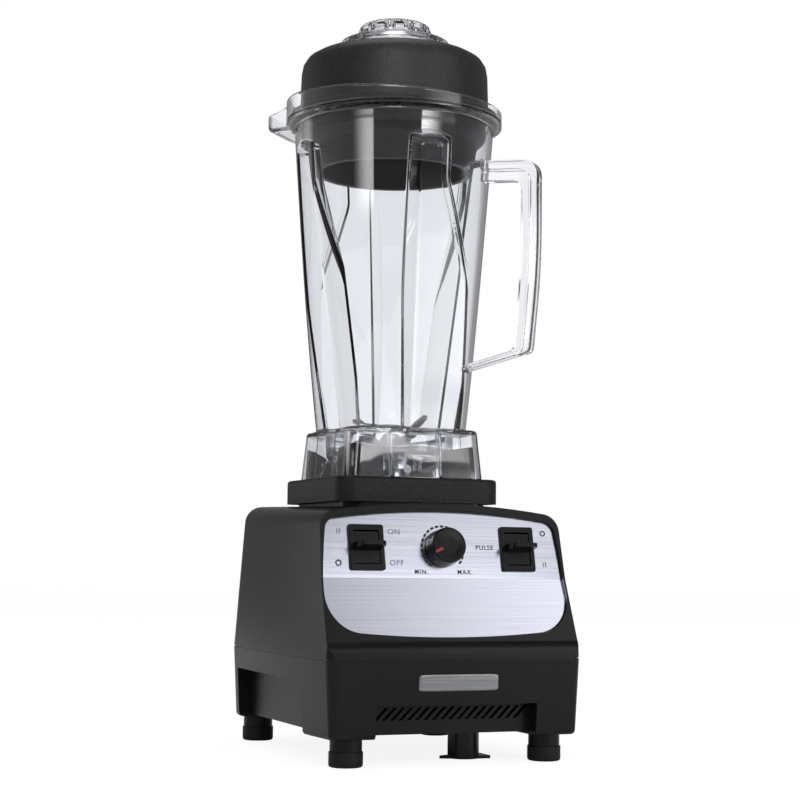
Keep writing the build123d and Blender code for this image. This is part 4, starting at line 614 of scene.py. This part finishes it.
# Handle: T-section loop at the jar's corner, a wide flange outside and a narrower web inside
handle = {
    "turn": -45.0, "topZ": 407.5, "topFall": 2.5, "root": 50.2, "reach": 109.5, "bendZ": 329.8,
    "footReach": 104.0, "footZ": 272.1, "rootZ": 258.3, "halfFlange": 6.25, "halfWeb": 4.2,
    "outerRound": 11.5, "stepRound": 0.75, "innerRound": 6.0, "footRound": 3.5, "bendRound": 30.0,
    "flange": (6.5, 6.5, 2.4), "web": (14.5, 12.5, 4.6), "topStart": 66.0, "lowStart": 54.0,
    "edges": (1.4, 1.4, 1.2, 0.6, 1.3, 1.3, 0.6, 1.2), "bite": 0.5, "roundRows": 12, "armRows": 8,
}


def handleLine(arm, depth, lowArm, topRound, footRound):
    # loop in the handle's plane, set in from the outer line by the given depths, its corners rounded
    h = handle
    topSlope = h["topFall"] / (h["reach"] - h["root"])
    lowSlope = (h["footZ"] - h["rootZ"]) / (h["footReach"] - h["root"])
    grip, foot = h["reach"] - depth, h["footReach"] - depth

    def topAt(r):
        return h["topZ"] - arm - topSlope * (r - h["root"])

    def lowAt(r):
        return h["rootZ"] + lowArm + lowSlope * (r - h["root"])

    corners = np.array([(h["topStart"], topAt(h["topStart"])), (grip, topAt(grip)), (grip, h["bendZ"]),
                        (foot, lowAt(foot)), (h["lowStart"], lowAt(h["lowStart"]))])[:, None, :]
    line = roundedRows(corners, (0, topRound, h["bendRound"], footRound, 0), h["roundRows"])[:, 0]
    upper = line[0] + (line[1] - line[0]) * np.linspace(0, 1, h["armRows"], endpoint=False)[:, None]
    lower = line[-2] + (line[-1] - line[-2]) * np.linspace(0, 1, h["armRows"] + 1)[1:, None]
    return np.concatenate([upper, line[1:-1], lower])


def handleLoop():
    # T outline between three loops (outer face, flange step, web's inner face), rounded, along all of them
    h = handle
    outer = handleLine(0, 0, 0, h["outerRound"], h["footRound"])
    step = handleLine(*h["flange"], h["stepRound"] * h["outerRound"], h["footRound"])
    inner = handleLine(*h["web"], h["innerRound"], h["footRound"])
    outline = (
        (outer, -1, "halfFlange"), (outer, 1, "halfFlange"), (step, 1, "halfFlange"),
        (step, 1, "halfWeb"), (inner, 1, "halfWeb"), (inner, -1, "halfWeb"),
        (step, -1, "halfWeb"), (step, -1, "halfFlange"))
    section = np.stack([np.column_stack([line, np.full(len(line), side * h[width])])
                        for line, side, width in outline])
    section = roundedRows(section, h["edges"], 5).transpose(1, 0, 2)
    radial, height, side = section[..., 0], section[..., 1], section[..., 2]
    reach, angle = np.hypot(radial, side), np.arctan2(side, radial) + radians(h["turn"])
    ends = [0, -1]
    reach[ends] = flareRadius(height[ends] - shoulder, 0) - h["bite"]  # both roots end inside the wall
    grid = ringRow(angle, reach, height)
    return putMesh("jarHandle", grid, slabFaces(*reach.shape), "clearBody", "jar")


handlePiece = handleLoop()
print("jar handle:", len(handlePiece.data.polygons), "faces")

# Lid: one rubber moulding, seated on the jar's ledge, with its collar inside the jar
lidTop = boxMm("lid")[1][2]
lid = {
    "flangeRadius": 73.2, "flange": 4.0, "side": 67.4, "top": 66.0, "wall": 5.0, "collar": 65.6,
    "straight": 13.0, "step": 59.4, "stepDrop": 18.0, "tip": 56.4, "drop": 37.0, "hole": 30.0,
    "columns": 240,
}
lidFlange, lidUnder = ledge + lid["flange"], lidTop - 2 * lid["wall"]
lidStraight, lidStep, lidTip = (ledge - lid[drop] for drop in ("straight", "stepDrop", "drop"))
lidCorners = [
    (lid["hole"], lidTop), (lid["top"], lidTop), (lid["side"], lidFlange), (lid["flangeRadius"], lidFlange),
    (lid["flangeRadius"], ledge), (lid["collar"], ledge), (lid["collar"], lidStraight),
    (lid["step"], lidStep), (lid["tip"], lidTip), (lid["tip"] - lid["wall"], lidTip),
    (lid["step"] - lid["wall"], lidStep), (lid["collar"] - lid["wall"], lidStraight),
    (lid["collar"] - lid["wall"], lidUnder), (lid["hole"], lidUnder),
]
lidRadii = (0.8, 14.0, 1.6, 1.2, 1.0, 0.6, 1.0, 1.5, 1.5, 1.0, 1.5, 1.0, 3.0, 0.8)
lidPiece = turned("lidMoulding", lidCorners, lidRadii, lid["columns"], "lidRubber", "lid")
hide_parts("lid")

# Plug: clear cup with a round-edged flange on the lid and a scalloped knob
plugTop = boxMm("lid_plug")[1][2]
plug = {
    "flangeRadius": 39.5, "flange": 11.2, "knob": 25.0, "knobFoot": 27.6, "drop": 26.0, "wall": 2.6,
    "gap": 0.4, "scallops": 12, "scallop": 4.2, "scallopPlace": 28.1, "scallopFoot": 0.3,
    "scallopEdge": 0.5, "farOff": 99.0, "columns": 360,
}
plugFlange = lidTop + plug["flange"]
cup = lid["hole"] - plug["gap"]
cupIn, cupFoot = cup - plug["wall"], lidTop - plug["drop"]
plugUnder = plugTop - 2 * plug["wall"]
plugCorners = [
    (0, plugTop), (plug["knob"], plugTop), (plug["knobFoot"], plugFlange),
    (plug["flangeRadius"], plugFlange), (plug["flangeRadius"], lidTop), (cup, lidTop), (cup, cupFoot),
    (cupIn, cupFoot), (cupIn, plugFlange - plug["wall"]), (plug["knob"] - plug["wall"], plugFlange),
    (plug["knob"] - 2 * plug["wall"], plugUnder), (0, plugUnder),
]
plugRadii = (0, 3.2, 1.2, 2.8, 0.6, 0.8, 0.8, 0.8, 1.0, 1.0, 2.0, 0)


def scallops(radius, height, theta):
    # round hollows in the knob's side: nearer edge of a circle that stands just outside it
    spacing = 2 * pi / plug["scallops"]
    turn = (theta + spacing / 2) % spacing - spacing / 2
    inside = plug["scallop"] ** 2 - (plug["scallopPlace"] * np.sin(turn)) ** 2
    edge = plug["scallopPlace"] * np.cos(turn) - np.sqrt(np.maximum(inside, 0))
    edge = np.where(inside > 0, edge, plug["farOff"])
    onKnob = height > plugFlange + plug["scallopFoot"]
    return np.where(onKnob, softMin(radius, edge, plug["scallopEdge"]), radius)


plugPiece = turned("plugMoulding", plugCorners, plugRadii, plug["columns"], "clearBody", "plug",
                   False, scallops)
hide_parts("lid_plug")
print("lid and plug turned")

# Panel frame: local right, up along the sheet and out of it, at the height of the controls
lean = radians(12.4)
knobPlace = np.array(jointPlace["speed_turn"]) / mm
panelRight = np.array([1.0, 0.0, 0.0])
panelUp = np.array([0.0, sin(lean), cos(lean)])
panelOut = np.array([0.0, -cos(lean), sin(lean)])


def onPanel(u, v, w):
    u, v, w = np.asarray(u)[..., None], np.asarray(v)[..., None], np.asarray(w)[..., None]
    return knobPlace + u * panelRight + v * panelUp + w * panelOut


# Speed knob: turned cap with fine ribs round its side and a slightly dished face
knob = {
    "radius": 12.5, "taper": 0.8, "height": 11.5, "lift": 0.6, "wall": 2.0, "hollow": 5.0,
    "faceInset": 3.2, "faceFall": 0.1, "dish": 0.5, "dishRadius": 6.0,
    "edges": (0, 0.3, 0.3, 0.5, 1.6, 0.8, 1.0, 0), "ribs": 40, "ribDepth": 0.28, "ribBand": 2.0,
    "ribFoot": 1.0, "ribTop": 1.4, "ribFade": 0.8, "columns": 320,
}


def knobCap():
    # rounded profile round the spindle; a cosine round the side lowers the radius between the ribs
    theta = np.linspace(0, 2 * pi, knob["columns"], endpoint=False)
    low, high = knob["lift"], knob["lift"] + knob["height"]
    outer, inner = knob["radius"], knob["radius"] - knob["wall"]
    hollow, dished = low + knob["hollow"], high - knob["dish"]
    corners = np.array([
        (0, hollow), (inner, hollow), (inner, low), (outer, low), (outer - knob["taper"], high),
        (outer - knob["faceInset"], high - knob["faceFall"]), (knob["dishRadius"], dished), (0, dished)])
    profile = roundedRows(corners[:, None, :] * np.ones((1, len(theta), 1)), knob["edges"], 6)
    radius, height = profile[..., 0], profile[..., 1]
    onSide = np.clip(radius - outer + knob["ribBand"], 0, 1)
    onSide = onSide * np.clip((height - low - knob["ribFoot"]) / knob["ribFade"], 0, 1)
    onSide = onSide * np.clip((high - knob["ribTop"] - height) / knob["ribFade"], 0, 1)
    radius = radius - knob["ribDepth"] * onSide * (0.5 + 0.5 * np.cos(knob["ribs"] * theta))
    points = onPanel(radius * np.cos(theta), radius * np.sin(theta), height)
    quads = gridQuads(len(profile), len(theta), False, True)
    return putMesh("knobCap", points, quads.tolist(), "switchNylon", "knob")


knobPiece = knobCap()
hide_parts("speed_knob")

# Printed and inlaid marks: screen-printed ink, slightly mottled, and a paint-filled groove
mottle = {"sizeMm": 0.4, "gloss": 0.08}


def inkFinish(name, hexText, rough):
    material, tree = startMaterial(name)
    patches = noiseFac(tree, objectPlace(tree), mottle["sizeMm"], 2.0)
    endMaterial(tree, addNode(tree, "ShaderNodeBsdfPrincipled", {
        "Base Color": linearColour(hexText),
        "Roughness": spread(tree, patches, unitSpan, (rough - mottle["gloss"], rough))}))
    return material


finishes["darkInk"] = inkFinish("near-black ink, screen printed", "#1b1d22", 0.6)
finishes["paleInk"] = inkFinish("mid-grey ink, screen printed", "#5d606b", 0.6)
finishes["pointerRed"] = inkFinish("red paint, filled groove", "#8a1512", 0.45)
dial = {
    "inner": 14.1, "outer": 15.6, "first": 235.0, "last": -44.5, "dashes": 20, "gap": 4.5,
    "low": 0.01, "thick": 0.05, "rows": 12,
}


def dialDash(name, startDeg, endDeg):
    # arc band on the panel: radius between two circles, angle between two limits, a thin closed slab
    angle = np.radians(np.linspace(startDeg, endDeg, dial["rows"]))[:, None]
    ring = np.array([(dial["inner"], dial["low"]), (dial["outer"], dial["low"]),
                     (dial["outer"], dial["thick"]), (dial["inner"], dial["thick"])])
    radius, height = ring[None, :, 0], ring[None, :, 1]
    points = onPanel(radius * np.cos(angle), radius * np.sin(angle), height + 0 * angle)
    return putMesh(name, points, slabFaces(*points.shape[:2]), "darkInk", "base", False)


dashTurn = (dial["last"] - dial["first"]) / dial["dashes"]
for i in range(dial["dashes"]):
    dashStart = dial["first"] + dashTurn * i - dial["gap"] / 2
    dialDash(f"dialDash{i}", dashStart, dashStart + dashTurn + dial["gap"])

pointer = {
    "turn": 205.0, "inner": 5.6, "outer": 11.3, "half": 0.9, "widest": 1.2, "taper": 0.07,
    "sink": 1.2, "proud": 0.06, "rows": 10,
}


def pointerInlay():
    # tapering slab on the knob's face, from near its middle to its rim
    along = np.linspace(pointer["inner"], pointer["outer"], pointer["rows"])[:, None]
    width = pointer["half"] * (pointer["widest"] - pointer["taper"] * (along - pointer["inner"]))
    side = np.array([-1.0, 1.0, 1.0, -1.0])[None, :] * width
    under, over = -pointer["sink"], pointer["proud"]
    height = np.array([under, under, over, over])[None, :] + (knob["lift"] + knob["height"])
    turn = radians(pointer["turn"])
    points = onPanel(along * cos(turn) - side * sin(turn), along * sin(turn) + side * cos(turn),
                     height + 0 * along)
    faces = slabFaces(*side.shape)
    return putMesh("knobPointer", points, faces, "pointerRed", "knob", False)


pointerInlay()

# Lettering on the panel: generic control words as (text, right, up, cap height, boldness, ink)
words = {
    "markTwoLeft": ("II", -72.0, 10.5, 3.6, 0.01, "paleInk"),
    "markZeroLeft": ("O", -73.0, -10.3, 3.9, 0.035, "darkInk"),
    "wordOn": ("ON", -33.6, 10.5, 3.7, 0.005, "paleInk"),
    "wordOff": ("OFF", -33.0, -9.9, 3.7, 0.005, "paleInk"),
    "wordMin": ("MIN.", -16.4, -15.6, 3.0, 0.018, "darkInk"),
    "wordMax": ("MAX.", 14.6, -15.6, 3.0, 0.018, "darkInk"),
    "wordPulse": ("PULSE", 30.0, 0.9, 3.1, 0.018, "darkInk"),
    "markZeroRight": ("O", 73.6, 11.0, 3.6, 0.035, "darkInk"),
    "markTwoRight": ("II", 73.0, -10.1, 3.6, 0.01, "paleInk"),
}
# spacing sets letters a little apart; capitals of the built-in font are about capShare of its size
letters = {"thick": 0.02, "spacing": 1.18, "capShare": 0.72, "lift": 0.04}


def lettering(name, text, u, v, tall, bold, ink):
    curve = bpy.data.curves.new(name + "Curve", "FONT")
    curve.body = text
    curve.size = 1.0
    curve.align_x = "CENTER"
    curve.align_y = "CENTER"
    curve.extrude = letters["thick"]
    curve.offset = bold
    curve.space_character = letters["spacing"]
    source = bpy.data.objects.new(name + "Source", curve)
    bpy.context.scene.collection.objects.link(source)
    bpy.context.view_layer.update()
    mesh = bpy.data.meshes.new_from_object(source.evaluated_get(bpy.context.evaluated_depsgraph_get()))
    bpy.data.objects.remove(source)
    local = np.zeros(len(mesh.vertices) * 3, np.float32)
    mesh.vertices.foreach_get("co", local)
    local = local.reshape(-1, 3)
    scale = tall / letters["capShare"]
    placed = onPanel(u + local[:, 0] * scale, v + local[:, 1] * scale, letters["lift"] + local[:, 2])
    mesh.vertices.foreach_set("co", (placed * mm).astype(np.float32).ravel())
    mesh.update()
    mesh.materials.clear()
    mesh.materials.append(finishes[ink])
    piece = bpy.data.objects.new(name, mesh)
    bpy.context.scene.collection.objects.link(piece)
    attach(piece, "base")
    return piece


for name, word in words.items():
    lettering(name, *word)
print("controls dressed:", len(words), "words")

# Bare plate on the tray's front
finishes["plateAluminium"] = brushedAluminium("satin aluminium plate, rolled", ("#77797b", "#949597"),
                                              (0.28, 0.36), 0.6, 40)
trayLow, trayHigh = boxMm("base_tray")
plate = {
    "width": 55.0, "height": 10.6, "z": 52.4, "thick": 0.7, "sink": 0.3, "corner": 0.16,
    "shrink": (0.0, 0.0, 0.3, 1.2), "trayInset": 2.5, "columns": 96,
}


def frontPlate():
    # rounded slab leaning with the tray's front: superellipse outline, its front edge softened by two rings
    t = np.linspace(0, 2 * pi, plate["columns"], endpoint=False)
    outlineX = np.sign(np.cos(t)) * abs(np.cos(t)) ** plate["corner"] * plate["width"] / 2
    outlineZ = np.sign(np.sin(t)) * abs(np.sin(t)) ** plate["corner"] * plate["height"] / 2
    thick, sink = plate["thick"], plate["sink"]
    out = np.array([-sink, thick - sink, thick, thick])[:, None]
    shrink = np.array(plate["shrink"])[:, None]
    x = outlineX - np.sign(outlineX) * np.minimum(shrink, abs(outlineX))
    height = plate["z"] + outlineZ - np.sign(outlineZ) * np.minimum(shrink, abs(outlineZ))
    face = trayLow[1] + plate["trayInset"] * (trayHigh[2] - height) / (trayHigh[2] - trayLow[2])
    grid = np.stack([x, face - out, height], axis=-1)
    return putMesh("frontPlate", grid, slabFaces(*x.shape), "plateAluminium", "base")


frontPlate()
print("front plate set")

# Surround: white behind the object, darker on the camera's side, as in a studio with a lit backdrop
surround = {"level": 0.5, "mirrored": (0.1, 0.2), "seenThrough": (0.5, 1.0), "turnover": (-0.7, 0.45),
            "afterMirror": 0.2}


def seenThrough(tree, path):
    # share by which a ray counts as looking straight through clear plastic: one that was mirrored or
    # scattered first counts less
    bounces = maths(tree, "ADD", path.outputs["Glossy Depth"], path.outputs["Diffuse Depth"])
    straight = spread(tree, bounces, unitSpan, (1.0, surround["afterMirror"]))
    return maths(tree, "MULTIPLY", path.outputs["Is Transmission Ray"], straight)


# Stage: white paper floor that clips to white for the camera and keeps a faint shadow
paper = {"tone": "#f2f2f2", "glow": 1.14, "share": 0.78, "half": 6.0}
white = (1, 1, 1, 1)


def floorFinish():
    material, tree = startMaterial("matt white studio paper")
    path = addNode(tree, "ShaderNodeLightPath")
    matt = addNode(tree, "ShaderNodeBsdfDiffuse", {"Color": linearColour(paper["tone"])})
    glow = addNode(tree, "ShaderNodeEmission", {"Color": white, "Strength": paper["glow"]})
    seen = maths(tree, "MAXIMUM", path.outputs["Is Camera Ray"], seenThrough(tree, path))
    endMaterial(tree, addNode(tree, "ShaderNodeMixShader", {
        0: maths(tree, "MULTIPLY", seen, paper["share"]), 1: matt.outputs[0], 2: glow.outputs[0]}))
    return material


half = paper["half"]
floorMesh = bpy.data.meshes.new("studioFloor")
floorCorners = [(-half, -half, 0), (half, -half, 0), (half, half, 0), (-half, half, 0)]
floorMesh.from_pydata(floorCorners, [], [(0, 1, 2, 3)])
floorMesh.materials.append(floorFinish())
floor = bpy.data.objects.new("studioFloor", floorMesh)
bpy.context.scene.collection.objects.link(floor)


def studioWorld():
    world = bpy.data.worlds.new("studio")
    bpy.context.scene.world = world
    world.use_nodes = True
    tree = world.node_tree
    tree.nodes.clear()
    path = addNode(tree, "ShaderNodeLightPath")
    direction = addNode(tree, "ShaderNodeTexCoord").outputs["Generated"]
    away = addNode(tree, "ShaderNodeSeparateXYZ", {0: direction}).outputs["Y"]
    backness = spread(tree, away, surround["turnover"], unitSpan, interpolation_type="SMOOTHSTEP")
    mirrored = spread(tree, backness, unitSpan, surround["mirrored"])
    through = spread(tree, backness, unitSpan, surround["seenThrough"])
    strength = surround["level"]
    for share, level in ((path.outputs["Is Glossy Ray"], mirrored), (seenThrough(tree, path), through),
                         (path.outputs["Is Camera Ray"], 1.0)):
        mix = addNode(tree, "ShaderNodeMix", {"Factor": share, "A": strength, "B": level})
        strength = mix.outputs[0]
    shader = addNode(tree, "ShaderNodeBackground", {"Color": white, "Strength": strength})
    addNode(tree, "ShaderNodeOutputWorld", {"Surface": shader.outputs[0]})


studioWorld()

# Softboxes round the object: turn in degrees, reach, height of both ends and width in metres,
# level is the brightness of its face, fade the shares over which it dies off left, right, below and above
softboxes = {
    "stripRight": {"turn": 293.0, "reach": 1.6, "ends": (0.42, 0.72), "width": 0.8, "level": 7.0,
                   "fade": (0.04, 0.9, 0.2, 0.4)},
    "stripLeft": {"turn": 212.0, "reach": 1.6, "ends": (0.42, 0.72), "width": 0.75, "level": 3.2,
                  "fade": (0.8, 0.04, 0.2, 0.4)},
    "panelRight": {"turn": 300.0, "reach": 1.5, "ends": (0.56, 2.4), "width": 1.3, "level": 1.0,
                   "fade": (0.75, 0.1, 0.15, 0.2)},
    "lowRight": {"turn": 306.0, "reach": 1.6, "ends": (0.02, 0.4), "width": 0.95, "level": 4.0,
                 "fade": (0.5, 0.3, 0.1, 0.4)},
    "front": {"turn": 248.0, "reach": 1.8, "ends": (0.95, 1.9), "width": 1.1, "level": 4.8,
              "fade": (0.3, 0.3, 0.3, 0.2)},
    "sideLeft": {"turn": 124.0, "reach": 1.6, "ends": (0.02, 1.0), "width": 0.9, "level": 0.8,
                 "fade": (0.9, 0.2, 0.1, 0.3)},
    "overhead": {"turn": 90.0, "reach": 0.25, "ends": (1.9, 1.9), "width": 1.4, "level": 1.2,
                 "fade": (0.2, 0.2, 0.2, 0.2)},
}
for name, box in softboxes.items():
    turn = radians(box["turn"])
    low, high = box["ends"]
    place = Vector((box["reach"] * cos(turn), box["reach"] * sin(turn), (low + high) / 2))
    aim = Vector((0, 0, place.z)) if high > low else Vector((0, 0, 0))
    data = bpy.data.lights.new(name, "AREA")
    data.shape = "RECTANGLE"
    data.size, data.size_y = box["width"], max(high - low, box["width"] * (high == low))
    # an area lamp's brightness is a quarter of its watts per square metre
    data.energy = 4 * box["level"] * data.size * data.size_y
    data.use_nodes = True
    tree = data.node_tree
    tree.nodes.clear()
    across = addNode(tree, "ShaderNodeSeparateXYZ", {
        0: addNode(tree, "ShaderNodeNewGeometry").outputs["Parametric"]})
    strength = 1.0
    for axis, edge, fade in zip("XXYY", (0, 1, 0, 1), box["fade"]):
        ramp = spread(tree, across.outputs[axis], (edge, edge + fade * (1 - 2 * edge)), unitSpan,
                      interpolation_type="SMOOTHSTEP")
        strength = maths(tree, "MULTIPLY", strength, ramp)
    glow = addNode(tree, "ShaderNodeEmission", {"Strength": strength})
    addNode(tree, "ShaderNodeOutputLight", {"Surface": glow.outputs[0]})
    light = bpy.data.objects.new(name, data)
    light.location = place
    light.rotation_euler = (aim - place).to_track_quat("-Z", "Y").to_euler()
    bpy.context.scene.collection.objects.link(light)

# Camera: place, view direction, right and up as the photograph was taken
view = {"place": (-0.47065, -1.15584, 0.12867), "forward": (0.376572, 0.922075, 0.089288),
        "right": (0.925325, -0.379004, 0.011409), "up": (-0.044360, -0.078324, 0.995941),
        "lens": 80.81, "sensor": 36.0}
cameraData = bpy.data.cameras.new("photoCamera")
cameraData.lens = view["lens"]
cameraData.sensor_width = view["sensor"]
camera = bpy.data.objects.new("photoCamera", cameraData)
axes = Matrix((view["right"], view["up"], tuple(-c for c in view["forward"]))).transposed()
camera.matrix_world = Matrix.Translation(view["place"]) @ axes.to_4x4()
bpy.context.scene.collection.objects.link(camera)
bpy.context.scene.camera = camera
bpy.context.scene.view_settings.view_transform = "Standard"
print("stage, lamps and camera set")
